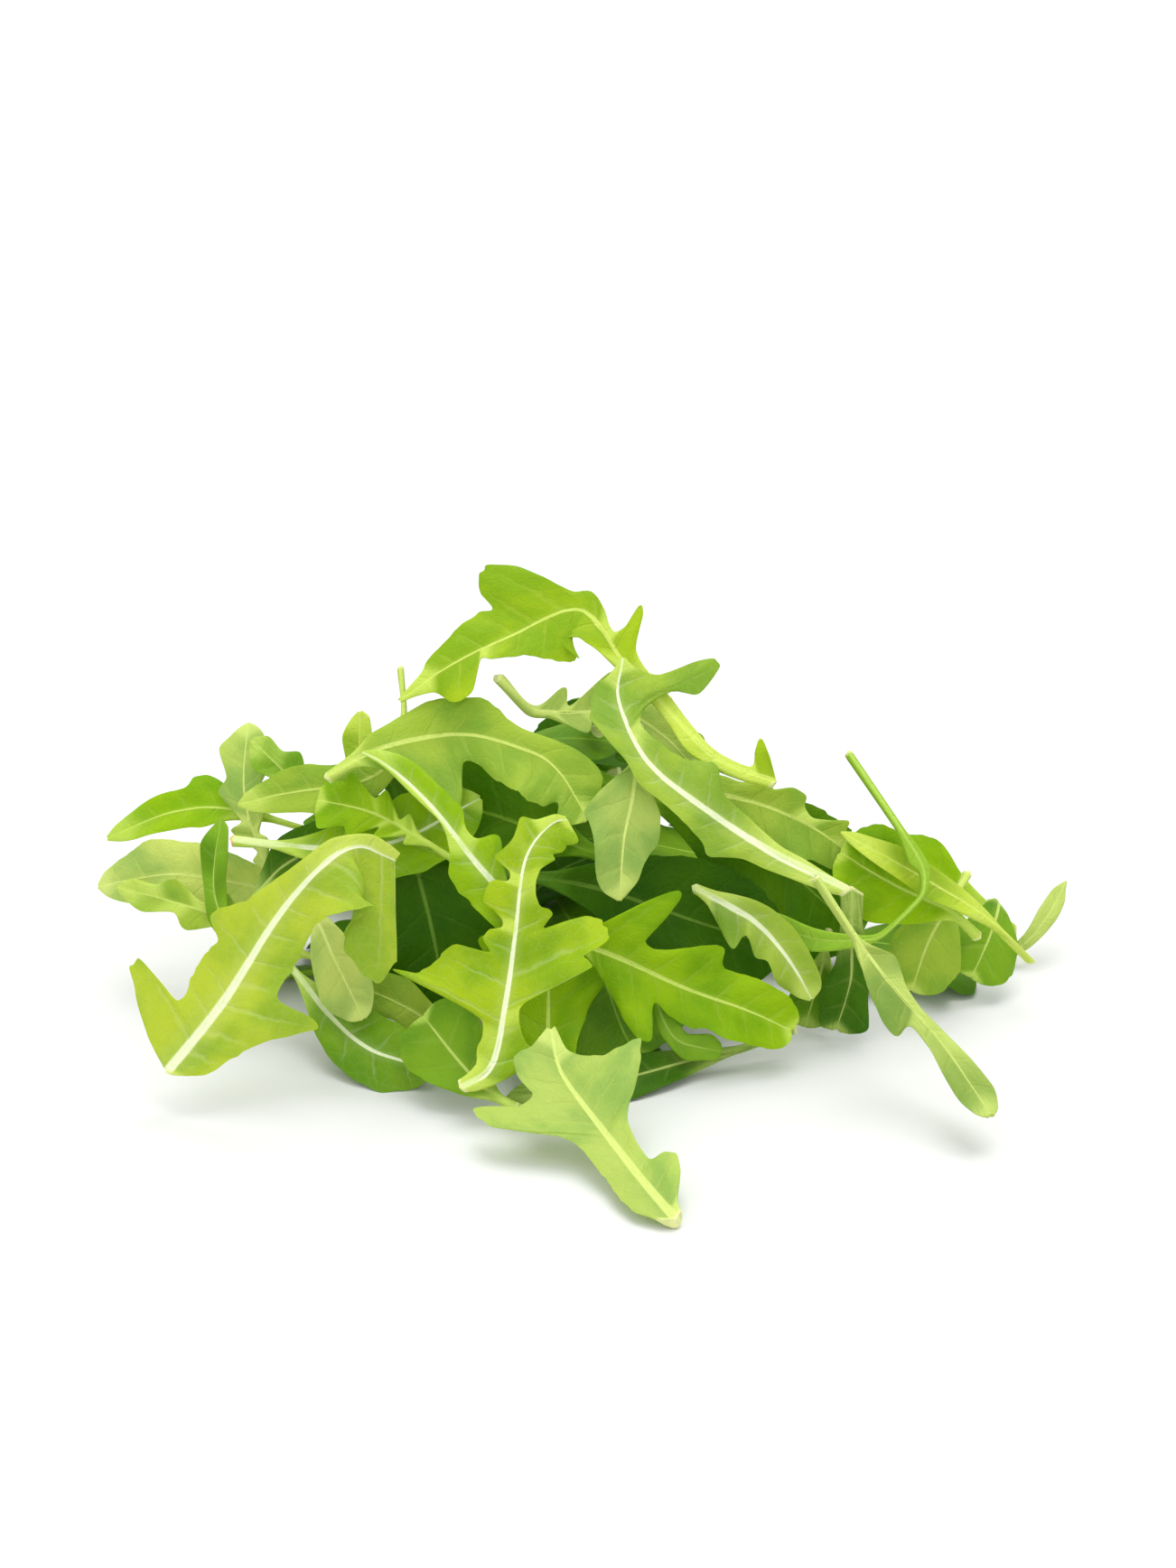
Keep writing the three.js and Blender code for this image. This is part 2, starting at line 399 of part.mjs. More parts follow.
function frontLeaf([name, green, outline, halfWidth, midrib, looks, bend = {}]) {
  return { name, green, outline, halfWidth, midrib, looks, ...bend, laid: "front", hold: STIFF };
}

// The middle surface of a leaf, as rows of points across it from left to right.
function bladeRows(leaf) {
  const curve = new THREE.CatmullRomCurve3(
    leaf.midrib.map((p) => new THREE.Vector3(...p)),
    false,
    "catmullrom",
    0.5,
  );
  const length = curve.getLength();
  const looks = leaf.looks.map((way) => new THREE.Vector3(...way));
  const curl = (leaf.curl || [0, 0]).map((degrees) => (degrees * DEGREE) / 10);
  const sweeps = leaf.sweeps || [VEIN_SWEEP, VEIN_SWEEP];
  const edgeWave = leaf.wave || WAVE;

  // The midrib's point, the way to the left and the way the upper face looks, at a share of it
  function frameAt(share) {
    const inside = Math.min(share, 1);
    const along = curve.getTangentAt(inside);
    const step = inside * (looks.length - 1);
    const from = Math.min(Math.floor(step), looks.length - 1);
    const to = Math.min(from + 1, looks.length - 1);
    const up = looks[from].clone().lerp(looks[to], step - from);
    up.addScaledVector(along, -up.dot(along)).normalize();
    const left = up.clone().cross(along);
    const point = curve.getPointAt(inside).addScaledVector(along, (share - inside) * length);
    return { point, left, up };
  }

  return OUTLINES[leaf.outline].map(([share, left, right]) =>
    [-1, -0.5, 0, 0.5, 1].map((column) => {
      const side = column < 0 ? 0 : 1;
      const out = Math.abs(column) * (side ? right : left) * leaf.halfWidth;
      const frame = frameAt(share + (out * Math.sin(sweeps[side])) / length);
      const lean = FOLD + (curl[side] * out) / 2;
      const beside = out * Math.cos(sweeps[side]) * Math.cos(lean) * (side ? -1 : 1);
      const phase = WAVE_TURN * share + WAVE_OFFSET * side;
      const wave = edgeWave * out * column * column * Math.sin(phase);
      return frame.point
        .addScaledVector(frame.left, beside)
        .addScaledVector(frame.up, out * Math.sin(lean) + wave);
    }),
  );
}

// The closed solid round a middle surface, as points and triangles.
// Both faces are split alike, and the lower one stands out along the midrib.
function leafSolid(leaf, rows) {
  const across = rows[0].length;
  const middle = (across - 1) / 2;
  const outline = OUTLINES[leaf.outline];
  const points = [];
  rows.forEach((row, i) => {
    const before = rows[Math.max(i - 1, 0)];
    const after = rows[Math.min(i + 1, rows.length - 1)];
    const [share, left, right] = outline[i];
    row.forEach((point, j) => {
      const along = after[j].clone().sub(before[j]);
      const sideways = row[Math.max(j - 1, 0)].clone().sub(row[Math.min(j + 1, across - 1)]);
      const normal = along.cross(sideways).normalize();
      const halfWidth = (j < middle ? left : right) * leaf.halfWidth;
      const stemShare = Math.max(0, 1 - halfWidth / STEM_HALF_WIDTH) * (1 - share);
      const upper = BLADE_THICKNESS / 2 + STEM_ROUNDING * stemShare;
      const ridge = STEM_THICKNESS + (TIP_THICKNESS - STEM_THICKNESS) * share - upper;
      const lower = j === middle ? ridge : upper;
      points.push(point.clone().addScaledVector(normal, upper));
      points.push(point.clone().addScaledVector(normal, -lower));
    });
  });

  const at = (i, j, face) => 2 * (i * across + j) + face;
  const triangles = [];
  const quad = (a, b, c, d) => triangles.push([a, b, c], [a, c, d]);
  for (let i = 0; i + 1 < rows.length; i++) {
    for (let j = 0; j + 1 < across; j++) {
      quad(at(i, j, 0), at(i, j + 1, 0), at(i + 1, j + 1, 0), at(i + 1, j, 0));
      triangles.push([at(i, j, 1), at(i + 1, j + 1, 1), at(i, j + 1, 1)]);
      triangles.push([at(i, j, 1), at(i + 1, j, 1), at(i + 1, j + 1, 1)]);
    }
    quad(at(i, 0, 1), at(i, 0, 0), at(i + 1, 0, 0), at(i + 1, 0, 1));
    quad(at(i, across - 1, 0), at(i, across - 1, 1), at(i + 1, across - 1, 1), at(i + 1, across - 1, 0));
  }
  const last = rows.length - 1;
  for (let j = 0; j + 1 < across; j++) {
    quad(at(0, j, 1), at(0, j + 1, 1), at(0, j + 1, 0), at(0, j, 0));
    quad(at(last, j, 0), at(last, j + 1, 0), at(last, j + 1, 1), at(last, j, 1));
  }
  return { points, triangles };
}

// Points spread evenly over a solid's triangles
function feltPoints({ points, triangles }) {
  const felt = [];
  for (const [a, b, c] of triangles) {
    const longest = Math.max(
      points[a].distanceTo(points[b]),
      points[b].distanceTo(points[c]),
      points[c].distanceTo(points[a]),
    );
    const steps = Math.max(1, Math.ceil(longest / SAMPLE_STEP));
    for (let i = 0; i <= steps; i++) {
      for (let j = 0; i + j <= steps; j++) {
        felt.push(
          points[a].clone().multiplyScalar(1 - (i + j) / steps)
            .addScaledVector(points[b], i / steps)
            .addScaledVector(points[c], j / steps),
        );
      }
    }
  }
  return felt;
}

// How high the heap reaches, seen along one of the ways that leaves are laid
const CELLS_ACROSS = Math.ceil((2 * REACH) / CELL);
class HeapView {
  constructor({ back, across }) {
    this.back = new THREE.Vector3(...back).normalize();
    this.across = new THREE.Vector3(...across);
    this.aloft = this.back.clone().cross(this.across);
    this.tops = new Float64Array(CELLS_ACROSS * CELLS_ACROSS).fill(-Infinity);
  }

  cellOf(point) {
    const column = Math.floor((point.dot(this.across) + REACH) / CELL);
    const row = Math.floor((point.dot(this.aloft) + REACH) / CELL);
    return row * CELLS_ACROSS + column;
  }

  add(felt) {
    for (const point of felt) {
      const cell = this.cellOf(point);
      const height = point.dot(this.back);
      for (const row of [-CELLS_ACROSS, 0, CELLS_ACROSS]) {
        for (const column of [-1, 0, 1]) {
          const near = cell + row + column;
          if (this.tops[near] < height) this.tops[near] = height;
        }
      }
    }
  }

  // How far back each felt point must go to be clear of the heap and the table
  needs(felt, gap) {
    return felt.map((point) => {
      const heap = this.tops[this.cellOf(point)] + gap - point.dot(this.back);
      const table = -point.z / this.back.z;
      return Math.max(heap, table);
    });
  }
}

const views = Object.fromEntries(Object.entries(LAID).map(([way, d]) => [way, new HeapView(d)]));

// Lays a leaf on the heap: it is moved along its way until it touches, bends over what it
// meets, and moves back by what is still missing.
function lay(leaf) {
  const view = views[leaf.laid];
  const rows = bladeRows(leaf);
  const felt = feltPoints(leafSolid(leaf, rows));
  const needs = view.needs(felt, LEAF_GAP);
  const { settle, drop, bend } = leaf.hold;
  const shift = Math.max(needs.reduce((a, b) => Math.max(a, b), -Infinity) - settle, -drop);

  const bumps = new Map();
  felt.forEach((point, i) => {
    const extra = needs[i] - shift;
    if (extra <= 0) return;
    const cell = view.cellOf(point);
    if (!bumps.has(cell) || bumps.get(cell) < extra) bumps.set(cell, extra);
  });
  const liftAt = (point) => {
    const u = point.dot(view.across) + REACH;
    const v = point.dot(view.aloft) + REACH;
    let lift = 0;
    for (const [cell, extra] of bumps) {
      const du = u - ((cell % CELLS_ACROSS) + 0.5) * CELL;
      const dv = v - (Math.floor(cell / CELLS_ACROSS) + 0.5) * CELL;
      lift = Math.max(lift, extra - bend * (du * du + dv * dv));
    }
    return lift;
  };
  for (const point of rows.flat()) point.addScaledVector(view.back, shift + liftAt(point));

  const missing = view
    .needs(feltPoints(leafSolid(leaf, rows)), LEAST_GAP)
    .reduce((a, b) => Math.max(a, b), 0);
  for (const point of rows.flat()) point.addScaledVector(view.back, missing);

  const solid = leafSolid(leaf, rows);
  for (const point of solid.points) if (point.z < PRESSED_FLAT) point.z = 0;
  const laidPoints = feltPoints(solid);
  for (const other of Object.values(views)) other.add(laidPoints);
  return solid;
}

function leafMesh(leaf, solid) {
  const geometry = new THREE.BufferGeometry();
  geometry.setAttribute(
    "position",
    new THREE.Float32BufferAttribute(solid.points.flatMap((p) => [p.x, p.y, p.z]), 3),
  );
  geometry.setIndex(solid.triangles.flat());
  geometry.computeVertexNormals();
  const material = new THREE.MeshStandardMaterial({
    color: GREEN[leaf.green],
    roughness: 0.55,
    metalness: 0,
    side: THREE.DoubleSide,
  });
  const mesh = new THREE.Mesh(geometry, material);
  mesh.name = leaf.name;
  return mesh;
}

const heap = new THREE.Group();
heap.name = "rocket_heap";
const leaves = [
  ...Array.from({ length: RESTING_LEAVES }, (_, index) => restingLeaf(index)),
  ...Array.from({ length: CORE_LEAVES }, (_, index) => coreLeaf(index)),
  ...Array.from({ length: BACK_LEAVES }, (_, index) => backLeaf(index)),
  ...FRONT_LEAVES.map(frontLeaf),
];
for (const leaf of leaves) heap.add(leafMesh(leaf, lay(leaf)));

// The outline's middle goes to the origin.
const box = new THREE.Box3().setFromObject(heap);
const middle = box.getCenter(new THREE.Vector3());
heap.position.set(-middle.x, -middle.y, -box.min.z);

const part = new THREE.Group();
part.add(heap);
export default part;
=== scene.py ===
import math

import bpy
import numpy as np
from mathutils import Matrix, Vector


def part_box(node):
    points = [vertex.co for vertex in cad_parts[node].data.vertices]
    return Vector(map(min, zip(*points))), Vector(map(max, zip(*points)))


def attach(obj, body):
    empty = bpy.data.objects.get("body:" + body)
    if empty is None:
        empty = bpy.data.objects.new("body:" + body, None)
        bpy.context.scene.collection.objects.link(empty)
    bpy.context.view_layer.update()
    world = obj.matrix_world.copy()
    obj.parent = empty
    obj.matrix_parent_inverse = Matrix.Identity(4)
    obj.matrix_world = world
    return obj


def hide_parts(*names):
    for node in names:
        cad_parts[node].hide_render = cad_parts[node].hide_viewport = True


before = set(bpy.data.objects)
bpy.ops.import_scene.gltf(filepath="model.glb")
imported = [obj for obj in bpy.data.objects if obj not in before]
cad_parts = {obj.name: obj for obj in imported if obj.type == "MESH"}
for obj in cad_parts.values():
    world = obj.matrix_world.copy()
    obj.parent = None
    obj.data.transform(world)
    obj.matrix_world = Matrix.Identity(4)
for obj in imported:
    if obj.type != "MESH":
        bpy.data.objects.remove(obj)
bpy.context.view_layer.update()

METRE = 0.001  # a millimetre in metres
DEGREE = math.pi / 180

# The leaves' form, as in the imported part
BLADE_THICKNESS = 0.8
STEM_THICKNESS = 2.6
TIP_THICKNESS = 1.0
STEM_HALF_WIDTH = 3
STEM_ROUNDING = 0.4
VEIN_SWEEP = 32 * DEGREE
FOLD = 8 * DEGREE
WAVE = 0.1
WAVE_TURN = 18
WAVE_OFFSET = 2.3
LEAF_GAP = 0.7
LEAST_GAP = 0.45
PRESSED_FLAT = 0.35
STIFF = {"settle": 5, "drop": 14, "bend": 0.012}
PRESSED = {"settle": 20, "drop": 200, "bend": 0.05}
LEANING = {"settle": 8, "drop": 200, "bend": 0.012}
LIMP = {"settle": 300, "drop": 200, "bend": 0.006}
CELL = 1.5
SAMPLE_STEP = 1
REACH = 190
CELLS_ACROSS = math.ceil(2 * REACH / CELL)
HEAP_MIDDLE = [0, -12]
FALL_FROM = 100
OWN_ARCH = 9
RESTING_LEAVES = 2
RESTING_HALF_LENGTH = 50
RESTING_HALF_WIDTH = 17
RESTING_TURN = 20
CORE_LEAVES = 4
CORE_HALF_LENGTH = 54
CORE_HALF_WIDTH = 24
CORE_BOW = 6
CORE_SPREAD = [44, 26]
CORE_BACKWARD = 8
CORE_TILT = 0.3
CORE_TURN_SPREAD = 0.6
GOLDEN_TURN = 137.5 * DEGREE
BACK_LEAVES = 10
BACK_REACH = [104, 74]
BACK_START = [26, -8]
BACK_SIDEWARD = 16
BACK_FAN = [[7, 168], [16, 148]]
BACK_RISE = [12, 50]
BACK_FLANK = 0.35
BACK_HOLDS = [LIMP, LEANING]
BACK_BOW = 16
BACK_HALF_WIDTH = [19, 24]

# The finer leaves
FINE_STEP = 0.85  # spacing of the fine rows, at the widest
HIDDEN_STEP = 1.5  # the same for leaves inside the heap and on its far side
FINE_COLUMNS = 13  # strips from the midrib to the edge
HIDDEN_COLUMNS = 8
RIB_COLUMNS = [0, 0.4, 0.75, 1.05, 1.6]  # where the first ones are, in radii of the midrib
NARROW_COLUMNS = [0, 0.2, 0.4, 0.58, 0.75]  # the furthest that they may be, as shares of the width
ROUNDNESS = 0.6  # of lobes and sinuses: 0 makes them pointed
FINE_BLADE = 0.42  # thickness of the blade
FINE_EDGE = 0.16  # and of its edge
EDGE_FROM = 0.82  # the share of the width where the blade starts to thin
RIB_AT_BASE = 1.45  # radius of the widest midribs at the cut end
RIB_AT_TIP = 0.36
RIB_TAPER = 1.2  # over 1, it keeps its width for longer
NARROW_RIB = 0.55  # the share of it that the narrowest leaf has
FULL_RIB_LEAF = 17  # half-width of the leaves that have it in full
THIN_RIB = 0.66  # the same of most leaves, as a share of the widest ribs
RIDGE_REACH = 1.25  # half the width of the ridge along the midrib, in its radii
RIDGE_DEPTH = 1.35  # how far it stands out below, in its radii
RIDGE_LIMIT = 0.9  # the same at most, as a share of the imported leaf's
RIDGE_RISE = 0.18  # how far it stands out above
STEM_HALF_WIDTHS = (2.6, 6)  # a stem is narrower than the first, a blade wider than the second
STEM_SIDE = 0.1  # half the thickness of a stem at its sides
TOOTH = 0.04  # size of the edge's teeth, as a share of the width
TOOTH_TURN = 0.8  # how fast teeth follow each other, in radians a millimetre
TOOTH_SIDES = 9.0  # sets the two sides' teeth apart
TOOTH_SEED = 3  # sets them apart from the ripple
TOOTHED_WIDTHS = (4, 9)  # half-widths between which the teeth set in
VEIN_SPACING = 7.5  # the widest space between side veins
VEIN_LOBE = 0.28  # the narrowest lobe that has a side vein, as a share of the leaf's half-width
PUCKER = 0.32  # how far the tissue stands up between the side veins
PUCKER_FLATNESS = 0.7  # under 1, it is flatter on top
PUCKERED_WIDTHS = (3, 8)
RIPPLE = 0.35  # height of the waves all over the blade
RIPPLE_LENGTH = 4.5
RIPPLED_FROM = (1.5, 6)  # distances from the midrib between which they set in
LEAST_WIDTH = 0.05  # of each half of a row
TINY = 1e-9
SHARP = 55 * DEGREE  # edges that turn more than this are shaded as edges
SIZE_SLACK = 0.05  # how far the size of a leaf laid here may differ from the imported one's

# Soft noise: a sum of waves
NOISE_WAVES = 5
NOISE_GROWTH = 0.6  # how much finer each wave is than the one before, in parts of the first
NOISE_OFFSET = 40
NOISE_REACH = 2.3  # what the waves seldom pass together

# The photograph's camera, in the frame of the heap before its outline was centred
CAMERA_ELEVATION = 20 * DEGREE
CAMERA_DISTANCE = 650
CAMERA_TARGET = [0, 0, 48]
PIXEL = 0.22  # millimetres of the heap that a pixel shows at that distance
IMAGE = (1302, 1736)
SENSOR = 36
CLIP = (0.01, 100)  # in metres

# The light: soft suns as [name, azimuth, elevation, strength, spread], in degrees.
# Azimuth 0 is the camera's side, 90 the right.
SUNS = [["key", 150, 72, 2.15, 50], ["front_fill", -20, 45, 1.3, 90]]
SKY = 0.72

# The table
HALF_TABLE = 8  # in metres
TABLE_TONES = [(0.67, 0.675, 0.665), (0.7, 0.705, 0.695)]
TABLE_SCALE = 3.0  # of the clouds between the two
TABLE_ROUGHNESS = 0.6

# Outlines: rows of [share of the midrib, half-width on the left, half-width on the right]
# as shares of the leaf's half-width, seen on the upper face with the tip ahead.
OUTLINES = {
  "rocket": [
    [0, 0.1, 0.1], [0.2, 0.09, 0.09], [0.3, 0.42, 0.14], [0.36, 0.14, 0.46], [0.44, 0.74, 0.2],
    [0.51, 0.32, 0.82], [0.6, 1, 0.45], [0.69, 0.66, 1], [0.79, 0.92, 0.74], [0.89, 0.62, 0.66],
    [0.96, 0.3, 0.34], [1, 0.05, 0.05],
  ],
  "oval": [
    [0, 0.12, 0.12], [0.18, 0.12, 0.12], [0.3, 0.42, 0.36], [0.42, 0.8, 0.74], [0.56, 1, 0.94],
    [0.7, 0.92, 1], [0.84, 0.68, 0.74], [0.94, 0.36, 0.4], [1, 0.07, 0.07],
  ],
  "finger": [
    [0, 0.14, 0.14], [0.22, 0.13, 0.13], [0.3, 0.7, 0.16], [0.37, 0.2, 0.66], [0.46, 0.98, 0.24],
    [0.54, 0.28, 1], [0.64, 0.95, 0.34], [0.73, 0.42, 0.88], [0.83, 0.7, 0.5], [0.92, 0.45, 0.5],
    [1, 0.08, 0.08],
  ],
  "strap": [
    [0, 0.4, 0.4], [0.25, 0.42, 0.42], [0.45, 0.85, 0.6], [0.62, 0.7, 1], [0.8, 1, 0.8],
    [0.93, 0.6, 0.6], [1, 0.14, 0.14],
  ],
  "point": [
    [0, 0.3, 0.3], [0.3, 0.6, 0.55], [0.55, 0.9, 0.85], [0.75, 0.8, 0.75], [0.9, 0.4, 0.36],
    [1, 0.06, 0.06],
  ],
  "hook": [
    [0, 0.3, 0.3], [0.24, 0.3, 0.3], [0.32, 0.5, 0.8], [0.37, 0.5, 0.34], [0.44, 0.22, 0.22],
    [0.6, 0.24, 0.24], [0.68, 0.6, 0.44], [0.78, 1, 0.8], [0.88, 0.9, 0.94], [0.95, 0.6, 0.5],
    [1, 0.1, 0.1],
  ],
  "far_lobe": [
    [0, 0.12, 0.12], [0.3, 0.14, 0.16], [0.42, 0.4, 0.6], [0.48, 0.7, 1.3], [0.53, 0.9, 1.35],
    [0.6, 0.8, 0.9], [0.72, 0.75, 0.85], [0.84, 0.6, 0.65], [0.93, 0.36, 0.4], [1, 0.1, 0.1],
  ],
  # The leaves that the heap is known by, from the front
  "arch": [
    [0, 0.09, 0.3], [0.008, 0.1, 0.48], [0.03, 0.11, 0.32], [0.05, 0.12, 0.1],
    [0.11, 0.13, 0.1], [0.16, 0.2, 0.1], [0.23, 0.14, 0.12], [0.29, 0.1, 0.15],
    [0.37, 0.12, 0.17], [0.41, 0.14, 0.26], [0.44, 0.2, 0.58], [0.455, 0.26, 0.62],
    [0.465, 0.32, 0.3], [0.48, 0.4, 0.14], [0.5, 0.6, 0.12], [0.523, 0.76, 0.2],
    [0.54, 0.74, 0.3], [0.566, 0.73, 0.26], [0.571, 0.72, 0.7], [0.582, 0.72, 0.92],
    [0.61, 0.66, 1], [0.65, 0.5, 0.88], [0.685, 0.38, 0.72], [0.7, 0.33, 0.44],
    [0.725, 0.28, 0.48], [0.775, 0.2, 0.43], [0.8, 0.12, 0.38], [0.815, 0.5, 0.36],
    [0.85, 0.54, 0.3], [0.885, 0.4, 0.24], [0.915, 0.2, 0.15], [0.963, 0.08, 0.08],
    [1, 0.03, 0.03],
  ],
  "diagonal": [
    [0, 0.12, 0.07], [0.05, 0.2, 0.09], [0.13, 0.24, 0.16], [0.2, 0.3, 0.17], [0.26, 0.34, 0.22],
    [0.29, 0.52, 0.25], [0.31, 0.62, 0.28], [0.36, 0.5, 0.32], [0.4, 0.45, 0.4],
    [0.425, 0.43, 0.66], [0.45, 0.4, 0.7], [0.52, 0.34, 0.52], [0.6, 0.34, 0.4],
    [0.67, 0.28, 0.32], [0.72, 0.38, 0.25], [0.77, 0.54, 0.22], [0.79, 0.52, 0.42],
    [0.8, 0.5, 0.9], [0.815, 0.48, 1.3], [0.84, 0.42, 1.56], [0.87, 0.36, 1.5], [0.89, 0.3, 1.1],
    [0.905, 0.23, 0.66], [0.93, 0.16, 0.4], [0.96, 0.1, 0.2], [1, 0.04, 0.04],
  ],
  "mid": [
    [0, 0.1, 0.1], [0.1, 0.16, 0.16], [0.15, 0.34, 0.5], [0.19, 0.42, 1.1], [0.23, 0.52, 1.5],
    [0.29, 0.72, 1.8], [0.35, 0.72, 1.82], [0.395, 0.7, 1.55], [0.415, 0.72, 0.74],
    [0.44, 0.72, 0.56], [0.5, 0.6, 0.58], [0.55, 0.47, 0.8], [0.62, 0.38, 0.88],
    [0.715, 0.44, 0.92], [0.77, 0.6, 0.84], [0.83, 0.64, 0.66], [0.87, 0.54, 0.36],
    [0.9, 0.44, 0.5], [0.95, 0.24, 0.4], [1, 0.06, 0.06],
  ],
  "hanging": [
    [0, 0.12, 0.12], [0.25, 0.12, 0.14], [0.31, 0.3, 0.6], [0.36, 0.5, 0.95], [0.42, 0.82, 1.14],
    [0.46, 0.87, 1.2], [0.5, 0.92, 1.06], [0.57, 0.94, 0.88], [0.66, 0.76, 0.76],
    [0.75, 0.6, 0.7], [0.84, 0.48, 0.6], [0.92, 0.27, 0.42], [1, 0.05, 0.05],
  ],
  "folded": [
    [0, 0.2, 0.15], [0.08, 0.4, 0.15], [0.15, 0.6, 0.16], [0.24, 0.68, 0.2], [0.29, 0.72, 0.5],
    [0.33, 0.68, 0.76], [0.38, 0.58, 0.66], [0.44, 0.36, 0.34], [0.5, 0.22, 0.3],
    [0.54, 0.14, 0.5], [0.6, 0.08, 0.46], [0.69, 0.12, 0.44], [0.78, 0.12, 0.44],
    [0.86, 0.08, 0.34], [0.93, 0.06, 0.2], [1, 0.04, 0.04],
  ],
  "rib": [
    [0, 0.14, 0.14], [0.1, 0.2, 0.3], [0.2, 0.4, 0.9], [0.3, 0.55, 1.05], [0.38, 0.62, 0.5],
    [0.5, 0.7, 0.75], [0.6, 0.7, 0.55], [0.72, 0.62, 0.7], [0.84, 0.56, 0.5], [0.93, 0.4, 0.3],
    [1, 0.08, 0.08],
  ],
  "teal": [
    [0, 0.12, 0.12], [0.1, 0.3, 0.5], [0.16, 0.4, 0.9], [0.21, 0.42, 1], [0.31, 0.38, 1.15],
    [0.41, 0.56, 1.09], [0.445, 0.4, 1.07], [0.5, 0.6, 1.02], [0.57, 0.57, 0.96],
    [0.62, 0.34, 0.9], [0.69, 0.2, 0.76], [0.74, 0.32, 0.66], [0.785, 0.54, 0.6],
    [0.83, 0.36, 0.54], [0.9, 0.22, 0.48], [0.95, 0.14, 0.4], [1, 0.05, 0.05],
  ],
  "centre": [
    [0, 0.1, 0.08], [0.03, 0.12, 0.14], [0.07, 0.17, 0.2], [0.1, 0.21, 0.42], [0.132, 0.25, 0.7],
    [0.15, 0.26, 0.46], [0.19, 0.23, 0.32], [0.238, 0.28, 0.24], [0.25, 0.62, 0.23],
    [0.262, 1.5, 0.22], [0.285, 1.24, 0.22], [0.3, 1.15, 0.3], [0.31, 1.1, 1.16],
    [0.34, 1.02, 1.12], [0.365, 0.95, 1], [0.38, 0.92, 1.24], [0.404, 0.84, 1.3],
    [0.43, 0.72, 1.26], [0.442, 0.5, 1.24], [0.455, 0.3, 1.2], [0.475, 0.36, 1.14],
    [0.49, 0.4, 1.08], [0.507, 0.38, 0.98], [0.52, 0.36, 0.72], [0.53, 0.34, 0.4],
    [0.548, 0.22, 0.44], [0.56, 0.18, 0.5], [0.58, 0.2, 0.46], [0.6, 0.32, 0.34],
    [0.612, 0.46, 0.3], [0.65, 0.45, 0.24], [0.69, 0.36, 0.22], [0.708, 0.17, 0.22],
    [0.738, 0.17, 0.24], [0.75, 0.38, 0.26], [0.78, 0.32, 0.36], [0.8, 0.28, 0.38],
    [0.825, 0.26, 0.32], [0.85, 0.3, 0.4], [0.875, 0.34, 0.39], [0.91, 0.18, 0.38],
    [0.96, 0.1, 0.36], [1, 0.04, 0.04],
  ],
  "bright": [
    [0, 0.09, 0.09], [0.05, 0.36, 0.12], [0.09, 0.95, 0.2], [0.12, 1.26, 0.34], [0.18, 0.94, 0.6],
    [0.23, 0.4, 0.88], [0.28, 0.34, 1], [0.33, 0.44, 0.94], [0.37, 0.56, 0.42], [0.43, 0.7, 0.47],
    [0.5, 0.73, 0.52], [0.57, 0.5, 0.47], [0.66, 0.5, 0.53], [0.75, 0.47, 0.48],
    [0.85, 0.44, 0.42], [0.93, 0.34, 0.32], [0.98, 0.2, 0.18], [1, 0.08, 0.08],
  ],
  "front": [
    [0, 0.14, 0.1], [0.04, 0.31, 0.16], [0.09, 0.34, 0.4], [0.14, 0.34, 0.47], [0.19, 0.33, 0.36],
    [0.23, 0.32, 0.21], [0.33, 0.32, 0.22], [0.41, 0.35, 0.29], [0.445, 0.46, 0.4],
    [0.46, 0.86, 0.5], [0.485, 1.06, 0.66], [0.53, 1.12, 0.86], [0.575, 1.08, 0.94],
    [0.605, 0.92, 0.86], [0.62, 0.64, 0.78], [0.66, 0.48, 0.64], [0.7, 0.4, 0.5],
    [0.76, 0.48, 0.38], [0.82, 0.46, 0.28], [0.89, 0.26, 0.14], [1, 0.05, 0.05],
  ],
  "left_front": [
    [0, 0.3, 0.04], [0.02, 0.5, 0.16], [0.045, 0.62, 0.26], [0.075, 0.72, 0.3],
    [0.115, 0.72, 0.32], [0.13, 0.5, 0.34], [0.145, 0.3, 0.36], [0.19, 0.3, 0.44],
    [0.22, 0.34, 0.58], [0.26, 0.34, 0.76], [0.29, 0.34, 0.68], [0.315, 0.33, 0.38],
    [0.37, 0.3, 0.33], [0.41, 0.44, 0.33], [0.5, 0.29, 0.31], [0.58, 0.22, 0.29],
    [0.64, 0.18, 0.36], [0.72, 0.14, 0.52], [0.8, 0.12, 0.64], [0.88, 0.11, 0.8],
    [0.95, 0.1, 0.92], [1, 0.07, 0.72],
  ],
  "low": [
    [0, 0.12, 0.12], [0.24, 0.12, 0.12], [0.32, 0.8, 0.5], [0.4, 0.6, 0.95], [0.46, 0.42, 1.1],
    [0.53, 0.32, 1.2], [0.57, 0.3, 0.5], [0.67, 0.4, 0.55], [0.77, 0.55, 0.66], [0.88, 0.66, 0.7],
    [0.96, 0.42, 0.5], [1, 0.12, 0.12],
  ],
}

# The ways back to the place that leaves are laid from
LAID = {"above": [0, 0, 1], "front": [0, -0.94, 0.342]}

